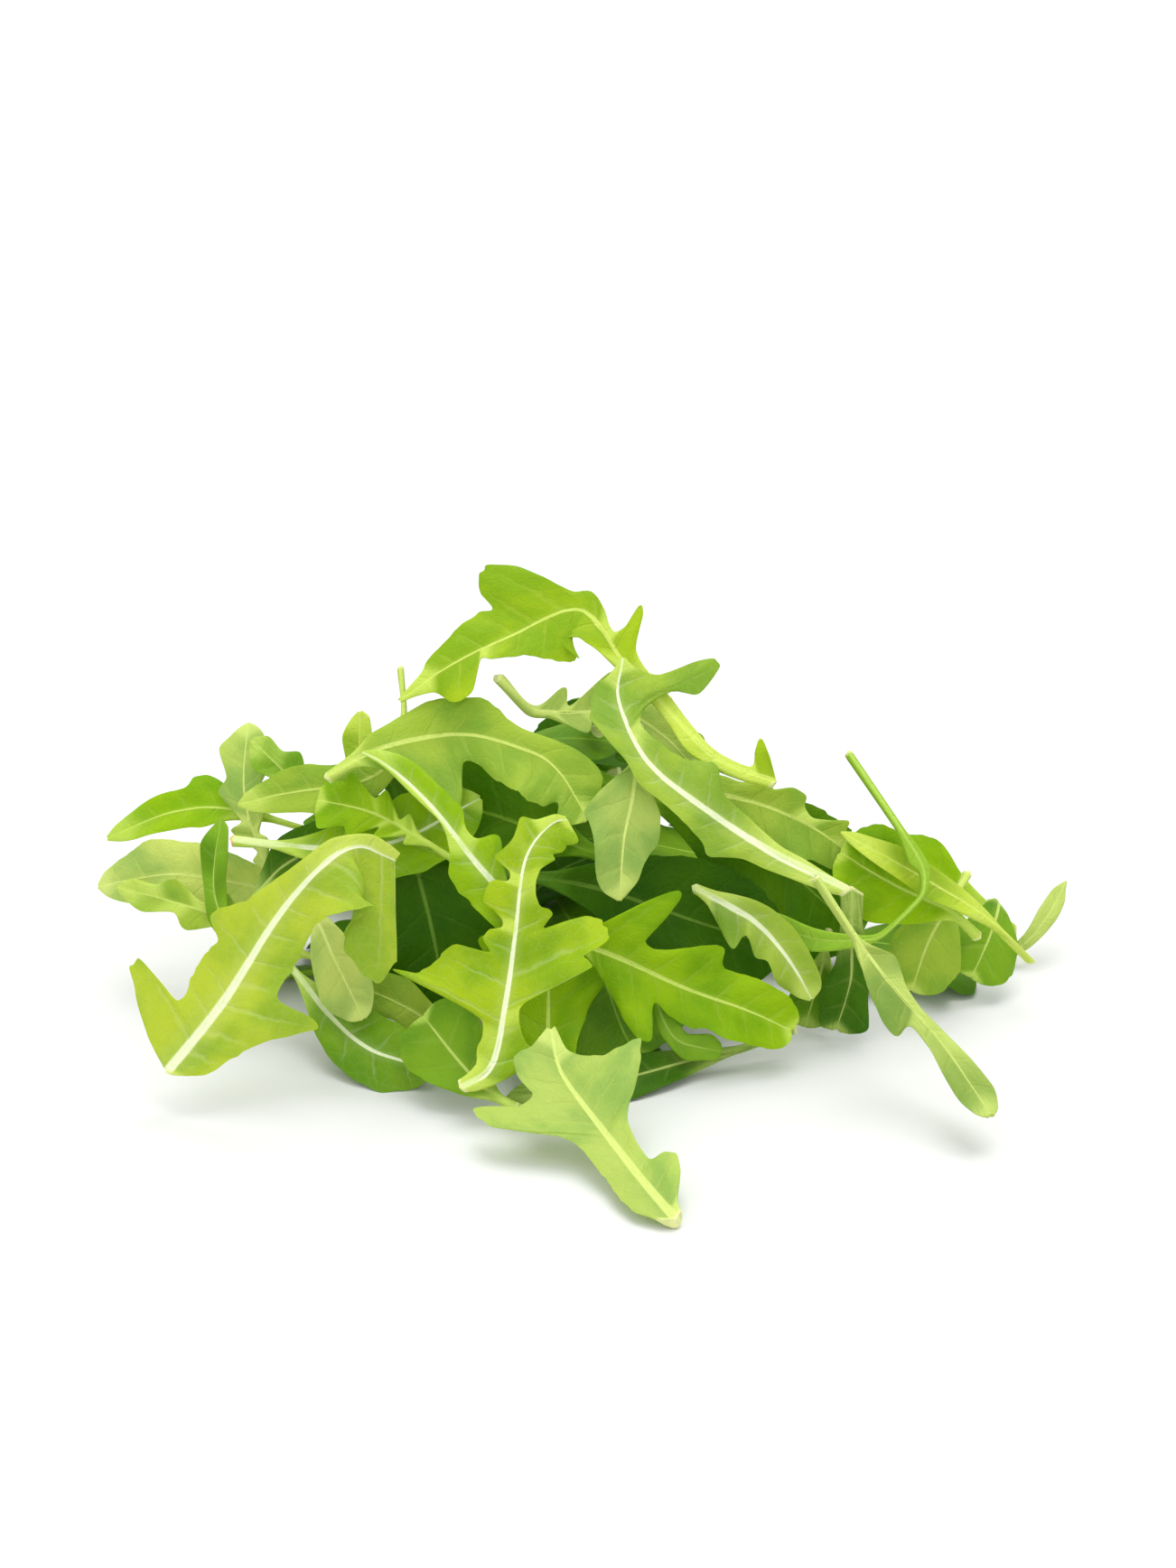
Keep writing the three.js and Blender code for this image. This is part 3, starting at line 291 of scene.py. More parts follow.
# The leaves that the front shows, from the hindmost to the foremost. A leaf is
# [end of its name, colour, outline, half-width, midrib points from cut end to tip,
#  ways the upper face looks,
#  { curl: left and right bend of the blade in degrees a centimetre, sweeps: of its left and
#    right lobes, wave: in place of WAVE }]
FRONT_LEAVES = [
  ["left_upright", "fresh", "strap", 5,
    [[-52, -16, 27], [-55, -14, 46], [-55, -8, 53], [-55, 1, 66]], [[-0.3, -0.9, 0.3]]],
  ["under_arch", "teal", "finger", 11,
    [[-21, -20, 82], [-16, -18, 74], [-6, -15, 71], [8, -12, 70], [18, -12, 64], [26, -14, 56]],
    [[0, -0.7, 0.7]]],
  ["left_bright", "bright", "far_lobe", 7,
    [[-56, -16, 39], [-72, -14, 43], [-88, -9, 45], [-101, -7, 43], [-117, -3, 35]],
    [[0, -0.75, 0.65]]],
  ["left_pale", "pale", "oval", 10,
    [[-50, -21, 26], [-69, -23, 28], [-84, -20, 30], [-100, -14, 30], [-119, -7, 24]],
    [[-0.1, -0.75, 0.6]]],
  ["left_low", "fresh", "finger", 7,
    [[-50, -43, 14], [-69, -39, 21], [-93, -26, 26], [-113, -15, 27]], [[-0.2, -0.85, 0.45]]],
  ["left_grey", "pale", "rocket", 8,
    [[-69, -33, 27], [-77, -24, 38], [-82, -15, 51], [-82, -7, 66]], [[-0.3, -0.9, 0.35]]],
  ["left_point", "bright", "finger", 8,
    [[-40, -31, 35], [-55, -25, 45], [-70, -14, 54], [-80, -8, 62]], [[-0.1, -0.75, 0.65]]],
  ["behind_stem", "teal", "strap", 8,
    [[107, -9, 10], [96, -7, 19], [85, -5, 28], [74, -4, 33]], [[0.3, -0.75, 0.6]]],
  ["far_right", "teal", "point", 3.5,
    [[101, -2, 1], [109, -2, 7], [113, 0, 11], [117, 4, 15], [121, 10, 18]],
    [[0.2, -0.8, 0.5]]],
  ["right_hang_b", "fresh", "oval", 11,
    [[100, 1, 16], [100, -8, 19], [97, -14, 14], [92, -20, 6]], [[0.3, -0.9, 0.4]]],
  ["right_hang_a", "teal", "oval", 11,
    [[92, -10, 29], [87, -16, 24], [81, -22, 16], [77, -28, 6]], [[0.2, -0.9, 0.4]]],
  ["dark_middle", "dark", "oval", 22,
    [[10, -30, 38], [-6, -27, 44], [-24, -22, 49], [-44, -18, 52]], [[0, -0.8, 0.6]]],
  ["dark_left", "dark", "oval", 21,
    [[-46, -29, 61], [-41, -36, 46], [-36, -43, 28], [-33, -48, 8]], [[-0.1, -0.9, 0.4]]],
  ["dark_right", "dark", "oval", 20,
    [[0, -19, 57], [22, -18, 48], [44, -20, 36], [64, -24, 19]], [[0, -0.85, 0.5]]],
  ["dark_low", "dark", "oval", 17,
    [[-24, -30, 38], [2, -32, 34], [24, -32, 26], [45, -30, 18]], [[0, -0.85, 0.5]]],
  ["right_under", "bright", "oval", 7,
    [[57, -25, 21], [55, -29, 13], [53, -32, 6], [51, -35, 0]], [[0.1, -0.9, 0.4]]],
  ["teal_upright", "teal", "strap", 5,
    [[-77, -46, 11], [-83, -40, 23], [-88, -33, 34], [-87, -26, 48]], [[-0.5, -0.85, 0.2]]],
  ["cut_stem", "pale", "oval", 9,
    [[-83, -50, 30], [-78, -46, 36], [-71, -42, 43], [-62, -40, 46], [-50, -40, 46]],
    [[-0.3, -0.7, 0.65]]],
  ["pale_stem", "pale", "oval", 12,
    [[-84, -30, 45], [-61, -36, 45], [-44, -39, 48], [-25, -35, 57]], [[0, -0.7, 0.7]]],
  ["left_oval", "fresh", "oval", 7,
    [[-44, -18, 84], [-43, -24, 74], [-46, -31, 64], [-56, -32, 59], [-68, -30, 57],
      [-82, -28, 53]], [[0, -0.8, 0.6]]],
  ["left_curl", "fresh", "rocket", 9,
    [[-29, -47, 46], [-39, -43, 51], [-50, -38, 55], [-62, -33, 56]], [[0, -0.8, 0.6]]],
  ["right_teal", "teal", "teal", 13,
    [[18, -24, 56], [30, -26, 55], [42, -27, 52], [53, -28, 47], [63, -30, 40]],
    [[0.15, -0.8, 0.6]]],
  ["mid_left", "fresh", "mid", 14,
    [[-60, -35, 62], [-47, -34, 69], [-31, -33, 72], [-19, -36, 71], [-8, -40, 67], [0, -48, 57]],
    [[-0.1, -0.7, 0.7], [0.2, -0.85, 0.5]]],
  ["right_light", "fresh", "oval", 13,
    [[93, -22, 17], [85, -24, 25], [76, -26, 30], [67, -26, 35], [59, -25, 40]],
    [[0.1, -0.85, 0.5]]],
  ["stem_right", "bright", "oval", 5,
    [[107, -21, 10], [93, -25, 24], [77, -27, 35], [67, -27, 41], [59, -25, 45]],
    [[0.25, -0.7, 0.7]]],
  ["right_lobe", "bright", "strap", 8,
    [[61, -28, 33], [61, -30, 27], [61, -32, 21], [61, -35, 11], [58, -38, 1]],
    [[0.1, -0.85, 0.5]]],
  ["hook", "fresh", "hook", 3.6,
    [[61, -16, 62], [67, -22, 52], [73, -25, 45], [78, -30, 35], [71, -38, 26], [53, -44, 26],
      [35, -43, 33]], [[0.1, -0.9, 0.4]]],
  ["hanging", "pale", "hanging", 10,
    [[12, -26, 72], [11, -36, 67], [10, -42, 60], [8, -48, 52], [7, -57, 41]],
    [[0, -0.8, 0.6], [0, -0.95, 0.3]]],
  ["arch", "bright", "arch", 20.5,
    [[43, -43, 64], [29, -41, 69], [18, -32, 78], [8, -24, 87], [-2, -16, 97], [-19, -20, 91],
      [-31, -24, 86], [-43, -29, 79]],
    [[0.2, -0.75, 0.6], [0.2, -0.75, 0.6], [0, -0.75, 0.65], [-0.2, -0.8, 0.55]]],
  ["diagonal", "fresh", "diagonal", 17,
    [[59, -54, 42], [42, -52, 50], [25, -47, 60], [13, -39, 68], [7, -29, 79], [8, -23, 87]],
    [[0.3, -0.75, 0.6], [0.1, -0.9, 0.4]]],
  ["white_rib", "fresh", "rib", 9,
    [[24, -36, 36], [32, -40, 33], [39, -42, 29], [46, -47, 22], [51, -50, 14]],
    [[0.1, -0.9, 0.4]]],
  ["strip_left", "fresh", "strap", 7,
    [[-18, -52, 0], [-29, -52, 4], [-44, -45, 11], [-55, -40, 13]], [[-0.1, -0.8, 0.5]]],
  ["behind_front", "pale", "strap", 19,
    [[-8, -67, -1], [-9, -62, 3], [-9, -56, 11], [-9, -49, 24]], [[0, -0.85, 0.5]]],
  ["floor_dark", "dark", "oval", 7,
    [[48, -51, 7], [37, -54, 4], [20, -60, 2], [2, -67, 1], [-18, -77, 2]], [[0, -0.6, 0.8]]],
  ["right_low", "fresh", "low", 7.5,
    [[51, -52, 45], [58, -60, 36], [67, -73, 27], [77, -83, 18], [86, -100, 9]],
    [[0.3, -0.8, 0.5]]],
  ["folded", "fresh", "folded", 12,
    [[-12, -68, 31], [-18, -63, 43], [-26, -56, 51], [-35, -48, 60], [-45, -41, 67],
      [-51, -37, 69]], [[-0.2, -0.8, 0.6]]],
  ["blue_green", "teal", "oval", 9.5,
    [[-74, -44, 25], [-66, -51, 18], [-55, -60, 9], [-46, -65, 6], [-34, -69, 5]],
    [[0.2, -0.85, 0.5]]],
  ["light_floor", "pale", "oval", 12,
    [[-15, -84, 3], [-23, -77, 5], [-30, -71, 10], [-37, -65, 16]], [[-0.1, -0.75, 0.65]]],
  ["small_curl", "bright", "strap", 4,
    [[14, -51, 20], [16, -55, 14], [20, -59, 8], [30, -59, 5]], [[0.1, -0.9, 0.3]]],
  ["bright", "bright", "bright", 18,
    [[-5, -66, 35], [8, -69, 31], [22, -72, 25], [36, -73, 20], [46, -73, 15]], [[0, -0.85, 0.5]]],
  ["centre", "fresh", "centre", 18,
    [[-28, -87, 9], [-21, -84, 13], [-18, -77, 25], [-16, -67, 37], [-14, -56, 50], [-9, -50, 56],
      [-5, -48, 57]], [[-0.1, -0.9, 0.4]], {"sweeps": [18 * DEGREE, 27 * DEGREE]}],
  ["muted_oval", "fresh", "oval", 8,
    [[-69, -40, 38], [-63, -45, 32], [-58, -51, 24], [-51, -57, 12]], [[-0.3, -0.85, 0.4]]],
  ["front", "pale", "front", 23,
    [[18, -133, 2], [9, -118, 6], [1, -103, 10], [-6, -88, 14], [-8, -80, 20]],
    [[0, -0.5, 0.86], [0, -0.75, 0.66]], {"wave": 0.03}],
  ["left_front", "fresh", "left_front", 30,
    [[-93, -66, 4], [-80, -63, 20], [-68, -58, 38], [-58, -55, 49], [-51, -51, 52],
      [-43, -47, 47]],
    [[-0.3, -0.85, 0.45], [0, -0.85, 0.5]], {"curl": [0, -10], "sweeps": [20 * DEGREE, 20 * DEGREE]}],
]


def named(names):
    """The full names of leaves that are given by their ends."""
    return {"leaf_" + name for name in names.split()}


# Tones of leaf tissue, red, green and blue from 0 to 255. Moss and shade are darker than the leaves' own
# green: painted shade for leaves that lie in the heap's shade.
TISSUES = {
    "yellow": (192, 214, 70), "lime": (176, 207, 32), "grass": (161, 204, 10),
    "fresh": (172, 204, 74), "pale": (206, 224, 136), "grey": (186, 212, 116),
    "leek": (136, 184, 40), "moss": (110, 162, 10), "shade": (76, 130, 4),
    "sage": (156, 184, 90),
}
# The tissue of each slot, on the front and on the leaves laid from above. The dark slot takes the shade
# tissue: painted shade on leaves in the heap's dark hollows.
SLOT_TISSUES = {
    "bright": "grass", "fresh": "fresh", "pale": "pale", "teal": "leek", "dark": "shade",
}
# Leaves laid from above lie inside the heap; their darker tissues are painted shade.
SHADED_HIDDEN_TISSUES = {"bright": "moss", "fresh": "leek", "teal": "leek", "dark": "shade"}
# The leaves whose tissue isn't the one of their slot. Moss and shade go to leaves that lie in shade
# among the others, as painted shade over their green.
TISSUE_LEAVES = {
    "yellow": "left_front", "lime": "arch centre stem_right left_upright",
    "grass": "folded left_curl pale_stem right_light behind_stem behind_front",
    "fresh": "right_teal right_hang_a", "pale": "muted_oval",
    "grey": "front hanging under_arch left_grey", "sage": "far_right right_low",
    "leek": "hook light_floor right_hang_b left_point",
    "moss": "teal_upright right_under small_curl dark_middle dark_right",
    "shade": "right_lobe cut_stem",
}
LEAF_TISSUES = {name: tissue for tissue, names in TISSUE_LEAVES.items() for name in named(names)}
WHITE_RIBS = named("left_front centre diagonal white_rib blue_green pale_stem folded")
WIDE_RIBS = named("left_front front diagonal white_rib blue_green pale_stem folded")
# The dark leaves in the heap's shade: their pale ribs are dimmed towards the tissue as painted shade, as
# on leaves laid from above.
SHADED_RIBS = named("dark_middle dark_left dark_right dark_low")
# Stems dimmed the same way: on the shaded leaves above as painted shade, and on three more leaves.
FAINT_STEMS = SHADED_RIBS | named("hook teal_upright small_curl")
WHITE_RIB_TONE = (242, 248, 212)
RIB_TONE = (218, 230, 132)
PLAIN_RIB = 0.62  # how much of that tone a rib has, over its own tissue's
# How much of the rib tone the dimmed ribs keep: painted shade inside the heap and on the shaded leaves.
SHADED_RIB = 0.15
STEM_TONE = (208, 224, 118)
PLAIN_STEM = 0.7  # how much of that tone a stem has, over its own tissue's
# The same for dimmed stems; inside the heap and on the shaded leaves this is painted shade.
FAINT_STEM = 0.1
CUT_TONE = (228, 232, 160)
BLOOM_TONE = (190, 208, 142)  # of the under face
BLOOM = 0.3  # how much of that tone the under face has
DRIED_CUTS = named("cut_stem pale_stem")
DRIED_TONE = (222, 186, 120)
DEEPER = (0.74, 0.86, 0.7)  # the darkest blotches, as shares of the tissue's red, green and blue
LIGHTER = (1.2, 1.1, 1)  # and the lightest

# Patterns of the tissue. Scales are per millimetre. A fade is a pair of places that it runs between.
PATTERN_SHIFT = 7.0  # the most that a leaf's pattern is moved away from the others'
WAVER_SCALE = 0.35
VEIN_WAVER = 0.22  # how far side veins stray, as a share of their spacing
VEIN_WIDTHS = (0.62, 0.2)  # at the midrib and at the edge
VEIN_FADE = (0.1, 1.5)  # in widths of the vein
VEIN_AT_EDGE = 0.15  # how much of a side vein is left at the edge
RIB_FADE = (0.65, 1.15)  # in radii of the midrib
NEAR_RIB_FADE = (1.0, 4.5)
NET_SCALE = 0.42  # of the small veins
NET_UNEVENNESS = 0.9
NET_FADE = (0.015, 0.12)
BLOTCH_SCALE = 0.07
BLOTCH_FADE = (0.35, 0.65)
GRAIN_SCALE = 1.6
GRAIN_FADE = (0.3, 0.7)
STREAK_SCALE = 1.8
STREAK_STRETCH = 0.12  # how fast streaks change along a stem, against across it
STREAK_FADE = (0.35, 0.7)
CUT_FADE = (0.2, 0.9)  # from the cut end

# How strongly each pattern shows
GRAIN_LIGHT = 0.12
UNDER_BLOOM = 0.5
NET_LIGHT = 0.07
NEAR_RIB_LIGHT = 0.18
VEIN_LIGHT = 0.3
STEM_LIGHT = 0.8
STREAK_LIGHT = 0.5
RIB_LIGHT = (0.92, 0.4)  # on the blade and on the stem
NET_RIDGE = 0.35
GRAIN_RIDGE = 0.5
BUMP = {"Strength": 0.5, "Distance": 0.0003}
FACE_ROUGHNESS = (0.4, 0.54)
UNDER_ROUGHNESS = 0.1  # that much rougher
GLOSS = 0.18
THROUGH_TONE = (1.0, 1.0, 0.3)  # of light that comes through, on top of the tissue's own
CLEAR = (0.5, 0.2)  # how much light goes through the blade and through its midrib
CLEAR_STEM = 0.45  # and how much of that through the stem


def unit(vectors):
    return vectors * (1 / np.sqrt((vectors * vectors).sum(-1, keepdims=True)))


def dot(points, way):
    return points[..., 0] * way[0] + points[..., 1] * way[1] + points[..., 2] * way[2]


def draw(leaf, question):
    """The same number between 0 and 1 each time, for the leaf and the question with these numbers."""
    spread = math.sin(leaf * 12.9898 + question * 78.233) * 43758.5453
    return spread - math.floor(spread)


def placed(turn, along, beside, above):
    return [
        HEAP_MIDDLE[0] + along * math.cos(turn) - beside * math.sin(turn),
        HEAP_MIDDLE[1] + along * math.sin(turn) + beside * math.cos(turn),
        above,
    ]


def resting_leaf(index):
    turn = (index * 90 + RESTING_TURN) * DEGREE
    return {
        "name": f"leaf_resting_{index + 1}", "green": "dark", "outline": "oval",
        "half_width": RESTING_HALF_WIDTH,
        "midrib": [
            placed(turn, share * RESTING_HALF_LENGTH, 0, FALL_FROM) for share in (-1, -0.36, 0.36, 1)
        ],
        "looks": [[0, 0, -1]], "laid": "above", "hold": PRESSED,
    }


def draped_midrib(turn, start, end, aside, rise=0):
    return [
        placed(turn, start + (end - start) * share, aside * (1 - 2 * share),
               FALL_FROM + rise * (1 - share) + OWN_ARCH * math.sin(math.pi * share))
        for share in (0, 0.33, 0.67, 1)
    ]


def core_leaf(index):
    spot = [size * (draw(index, axis + 2) - 0.5) for axis, size in enumerate(CORE_SPREAD)]
    turn = index * GOLDEN_TURN + CORE_TURN_SPREAD * draw(index, 1)
    midrib = draped_midrib(turn, -CORE_HALF_LENGTH, CORE_HALF_LENGTH, CORE_BOW)
    tilt = [CORE_TILT * (draw(index, question) - 0.5) for question in (5, 6)]
    return {
        "name": f"leaf_core_{index + 1}", "green": "dark" if index % 2 else "teal",
        "outline": "rocket" if index % 3 else "finger", "half_width": CORE_HALF_WIDTH,
        "midrib": [[x + spot[0], y + spot[1] + CORE_BACKWARD, z] for x, y, z in midrib],
        "looks": [[*tilt, 1]], "laid": "above", "hold": LIMP,
    }


def back_leaf(index):
    per_row = BACK_LEAVES // 2
    row = index // per_row
    step = (index % per_row) * 3 % per_row
    start, fan = BACK_FAN[row]
    turn = (start + step * fan / (per_row - 1)) * DEGREE
    far = BACK_REACH[row] + BACK_SIDEWARD * (draw(index, 8) - abs(math.cos(turn)))
    rise = BACK_RISE[row] * (1 - BACK_FLANK * abs(math.cos(turn)))
    bow = BACK_BOW * (draw(index, 9) - 0.5)
    midrib = draped_midrib(turn, BACK_START[row], far, bow, rise)
    narrow, wide = BACK_HALF_WIDTH
    return {
        "name": f"leaf_back_{index + 1}", "green": ["bright", "teal", "fresh"][index % 3],
        "outline": ["rocket", "oval", "rocket", "finger"][index % 4],
        "half_width": narrow + (wide - narrow) * draw(index, 10),
        "midrib": midrib[::-1] if index % 3 == 2 else midrib,
        "looks": [[0, 0, 1]], "laid": "above", "hold": BACK_HOLDS[row],
    }


def front_leaf(name, green, outline, half_width, midrib, looks, bend=None):
    return {
        "name": "leaf_" + name, "green": green, "outline": outline, "half_width": half_width,
        "midrib": midrib, "looks": looks, "laid": "front", "hold": STIFF, **(bend or {}),
    }


class Midrib:
    """A smooth curve through points, measured along its length."""

    DIVISIONS = 200
    NEAR = 0.0001

    def __init__(self, points):
        points = np.array(points, float)
        first = 2 * points[0] - points[1]
        last = 2 * points[-1] - points[-2]
        self.points = np.vstack([first, points, last])
        self.spans = len(points) - 1
        at = self.at(np.linspace(0, 1, self.DIVISIONS + 1))
        steps = np.sqrt(((at[1:] - at[:-1]) ** 2).sum(1))
        self.lengths = np.concatenate([[0], np.cumsum(steps)])
        self.length = self.lengths[-1]

    def at(self, place):
        place = np.asarray(place, float) * self.spans
        span = np.minimum(np.floor(place).astype(int), self.spans - 1)
        w = (place - span)[..., None]
        before, start, end, after = (self.points[span + k] for k in range(4))
        leave, arrive = 0.5 * (end - before), 0.5 * (after - start)
        cubed = 2 * start - 2 * end + leave + arrive
        squared = -3 * start + 3 * end - 2 * leave - arrive
        return start + leave * w + squared * w * w + cubed * w * w * w

    def place_of(self, share):
        steps = np.linspace(0, 1, self.DIVISIONS + 1)
        return np.interp(np.asarray(share) * self.length, self.lengths, steps)

    def point_at(self, share):
        return self.at(self.place_of(share))

    def way_at(self, share):
        place = self.place_of(share)
        ahead = self.at(np.minimum(place + self.NEAR, 1))
        behind = self.at(np.maximum(place - self.NEAR, 0))
        return unit(ahead - behind)


def blade_rows(leaf):
    """The middle surface of a leaf, as rows of five points across it from left to right."""
    curve = Midrib(leaf["midrib"])
    leaf["length"] = curve.length
    looks = np.array(leaf["looks"], float)
    curl = [degrees * DEGREE / 10 for degrees in leaf.get("curl", (0, 0))]
    sweeps = leaf.get("sweeps", [VEIN_SWEEP, VEIN_SWEEP])
    edge_wave = leaf.get("wave", WAVE)
    rows = []
    for share, left, right in OUTLINES[leaf["outline"]]:
        points = []
        for column in (-1, -0.5, 0, 0.5, 1):
            side = 0 if column < 0 else 1
            out = abs(column) * (right if side else left) * leaf["half_width"]
            at = share + out * math.sin(sweeps[side]) / curve.length
            inside = min(at, 1)
            way = curve.way_at(inside)
            step = inside * (len(looks) - 1)
            start = min(math.floor(step), len(looks) - 1)
            end = min(start + 1, len(looks) - 1)
            up = looks[start] + (looks[end] - looks[start]) * (step - start)
            up = unit(up - way * dot(up, way))
            to_left = np.cross(up, way)
            lean = FOLD + curl[side] * out / 2
            beside = out * math.cos(sweeps[side]) * math.cos(lean) * (-1 if side else 1)
            phase = WAVE_TURN * share + WAVE_OFFSET * side
            wave = edge_wave * out * column * column * math.sin(phase)
            point = curve.point_at(inside) + way * ((at - inside) * curve.length)
            points.append(point + to_left * beside + up * (out * math.sin(lean) + wave))
        rows.append(points)
    return np.array(rows)


def packed_solid(leaf, rows):
    """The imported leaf's points and triangles round a middle surface."""
    count, across = rows.shape[:2]
    outline = np.array(OUTLINES[leaf["outline"]], float)
    nearest = np.arange(count)
    along = rows[np.minimum(nearest + 1, count - 1)] - rows[np.maximum(nearest - 1, 0)]
    columns = np.arange(across)
    sideways = rows[:, np.maximum(columns - 1, 0)] - rows[:, np.minimum(columns + 1, across - 1)]
    normal = unit(np.cross(along, sideways))
    share = outline[:, 0][:, None]
    half_width = np.where(columns < across // 2, outline[:, 1:2], outline[:, 2:3]) * leaf["half_width"]
    stem_share = np.maximum(0, 1 - half_width / STEM_HALF_WIDTH) * (1 - share)
    upper = BLADE_THICKNESS / 2 + STEM_ROUNDING * stem_share
    ridge = STEM_THICKNESS + (TIP_THICKNESS - STEM_THICKNESS) * share - upper
    lower = np.where(columns == across // 2, ridge, upper)
    points = np.stack([rows + normal * upper[..., None], rows - normal * lower[..., None]], 2)

    def at(i, j, face):
        return 2 * (i * across + j) + face

    triangles = []
    for i in range(count - 1):
        for j in range(across - 1):
            triangles += [
                (at(i, j, 0), at(i, j + 1, 0), at(i + 1, j + 1, 0)),
                (at(i, j, 0), at(i + 1, j + 1, 0), at(i + 1, j, 0)),
                (at(i, j, 1), at(i + 1, j + 1, 1), at(i, j + 1, 1)),
                (at(i, j, 1), at(i + 1, j, 1), at(i + 1, j + 1, 1)),
            ]
        for j, (a, b) in ((0, (1, 0)), (across - 1, (0, 1))):
            triangles += [
                (at(i, j, a), at(i, j, b), at(i + 1, j, b)),
                (at(i, j, a), at(i + 1, j, b), at(i + 1, j, a)),
            ]
    last = count - 1
    for j in range(across - 1):
        triangles += [
            (at(0, j, 1), at(0, j + 1, 1), at(0, j + 1, 0)),
            (at(0, j, 1), at(0, j + 1, 0), at(0, j, 0)),
            (at(last, j, 0), at(last, j + 1, 0), at(last, j + 1, 1)),
            (at(last, j, 0), at(last, j + 1, 1), at(last, j, 1)),
        ]
    return points.reshape(-1, 3), np.array(triangles)


def felt_points(points, triangles):
    """Points spread evenly over a solid's triangles."""
    corners = points[triangles]
    sides = corners - np.roll(corners, -1, 1)
    longest = np.sqrt((sides * sides).sum(-1)).max(1)
    steps = np.maximum(1, np.ceil(longest / SAMPLE_STEP)).astype(int)
    felt = []
    for count in np.unique(steps):
        i, j = (grid.ravel() for grid in np.meshgrid(np.arange(count + 1), np.arange(count + 1)))
        inside = i + j <= count
        i, j = i[inside], j[inside]
        a, b, c = (corners[steps == count][:, k][:, None] for k in range(3))
        spread = (
            a * (1 - (i + j) / count)[None, :, None]
            + b * (i / count)[None, :, None]
            + c * (j / count)[None, :, None]
        )
        felt.append(spread.reshape(-1, 3))
    return np.concatenate(felt)


class HeapView:
    """How high the heap reaches, seen along one of the ways that leaves are laid."""

    def __init__(self, back):
        self.back = unit(np.array(back, float))
        self.across = np.array([1.0, 0, 0])
        self.aloft = np.cross(self.back, self.across)
        self.tops = np.full(CELLS_ACROSS * CELLS_ACROSS, -np.inf)

    def cells_of(self, points):
        column = np.floor((dot(points, self.across) + REACH) / CELL).astype(int)
        row = np.floor((dot(points, self.aloft) + REACH) / CELL).astype(int)
        return row * CELLS_ACROSS + column

    def add(self, felt):
        cells = self.cells_of(felt)
        heights = dot(felt, self.back)
        for row in (-CELLS_ACROSS, 0, CELLS_ACROSS):
            for column in (-1, 0, 1):
                np.maximum.at(self.tops, cells + row + column, heights)

    def needs(self, felt, gap):
        heap = self.tops[self.cells_of(felt)] + gap - dot(felt, self.back)
        return np.maximum(heap, -felt[:, 2] / self.back[2])


def lay(leaf, views):
    """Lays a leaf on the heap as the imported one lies. Returns its middle surface and solid."""
    view = views[leaf["laid"]]
    rows = blade_rows(leaf)
    hold = leaf["hold"]
    felt = felt_points(*packed_solid(leaf, rows))
    needs = view.needs(felt, LEAF_GAP)
    shift = max(needs.max() - hold["settle"], -hold["drop"])
    extra = needs - shift
    bumped = extra > 0
    cells = view.cells_of(felt)[bumped]
    highest = np.full(CELLS_ACROSS * CELLS_ACROSS, -np.inf)
    np.maximum.at(highest, cells, extra[bumped])
    cells = np.unique(cells)
    u = dot(rows, view.across) + REACH
    v = dot(rows, view.aloft) + REACH
    du = u[..., None] - (cells % CELLS_ACROSS + 0.5) * CELL
    dv = v[..., None] - (cells // CELLS_ACROSS + 0.5) * CELL
    lift = (highest[cells] - hold["bend"] * (du * du + dv * dv)).max(-1, initial=0)
    rows = rows + view.back * (shift + lift)[..., None]
    missing = max(0, view.needs(felt_points(*packed_solid(leaf, rows)), LEAST_GAP).max())
    rows = rows + view.back * missing
    points, triangles = packed_solid(leaf, rows)
    points[points[:, 2] < PRESSED_FLAT, 2] = 0
    laid = felt_points(points, triangles)
    for other in views.values():
        other.add(laid)
    return rows, points


def between_rows(rows, step):
    """Smooth rows between the outline's rows. Returns them and their places among the rows."""
    steps = rows[1:] - rows[:-1]
    lengths = np.sqrt((steps * steps).sum(-1, keepdims=True))
    leave = np.empty_like(rows)
    leave[0], leave[-1] = steps[0], steps[-1]
    turning = ROUNDNESS * (rows[2:] - rows[:-2])
    size = np.sqrt((turning * turning).sum(-1, keepdims=True))
    leave[1:-1] = turning * np.minimum(1, np.minimum(lengths[:-1], lengths[1:]) / np.maximum(size, TINY))
    fine, places = [], []
    for i in range(len(steps)):
        count = max(2, math.ceil(lengths[i].max() / step))
        w = (np.arange(count) / count)[:, None, None]
        fine.append(
            rows[i] * (1 + 2 * w) * (1 - w) ** 2 + leave[i] * w * (1 - w) ** 2
            + rows[i + 1] * w * w * (3 - 2 * w) - leave[i + 1] * w * w * (1 - w)
        )
        places.append(i + w[:, 0, 0])
    fine.append(rows[-1:])
    places.append([len(steps)])
    return np.concatenate(fine), np.concatenate(places)


def vein_places(outline, side, length):
    """Where side veins leave the midrib, among the outline's rows: one for each lobe, and more
    between them where they are far apart."""
    widths = outline[:, 1 + side]
    lobes = [
        i for i in range(1, len(widths) - 1)
        if widths[i] >= VEIN_LOBE and widths[i] >= widths[i - 1] and widths[i] > widths[i + 1]
    ]
    known = [0.0, *map(float, lobes), len(widths) - 1.0]
    share = outline[:, 0]
    rows = np.arange(len(widths))
    places = [known[0]]
    for start, end in zip(known[:-1], known[1:]):
        a, b = np.interp([start, end], rows, share)
        pieces = max(1, round((b - a) * length / VEIN_SPACING))
        places += list(np.interp(a + (b - a) * np.arange(1, pieces + 1) / pieces, share, rows))
    return np.array(places)


def soft_noise(x, y, seed):
    """A smooth wavering between -1 and 1 over two lengths."""
    total = 0
    for k in range(NOISE_WAVES):
        turn = 2 * math.pi * draw(seed, k)
        size = 1 + NOISE_GROWTH * k
        along = size * (x * math.cos(turn) + y * math.sin(turn))
        total = total + np.sin(along + NOISE_OFFSET * draw(seed, k + NOISE_WAVES)) / size
    return total / NOISE_REACH


def smooth(low, high, value):
    t = np.clip((value - low) / (high - low), 0, 1)
    return t * t * (3 - 2 * t)


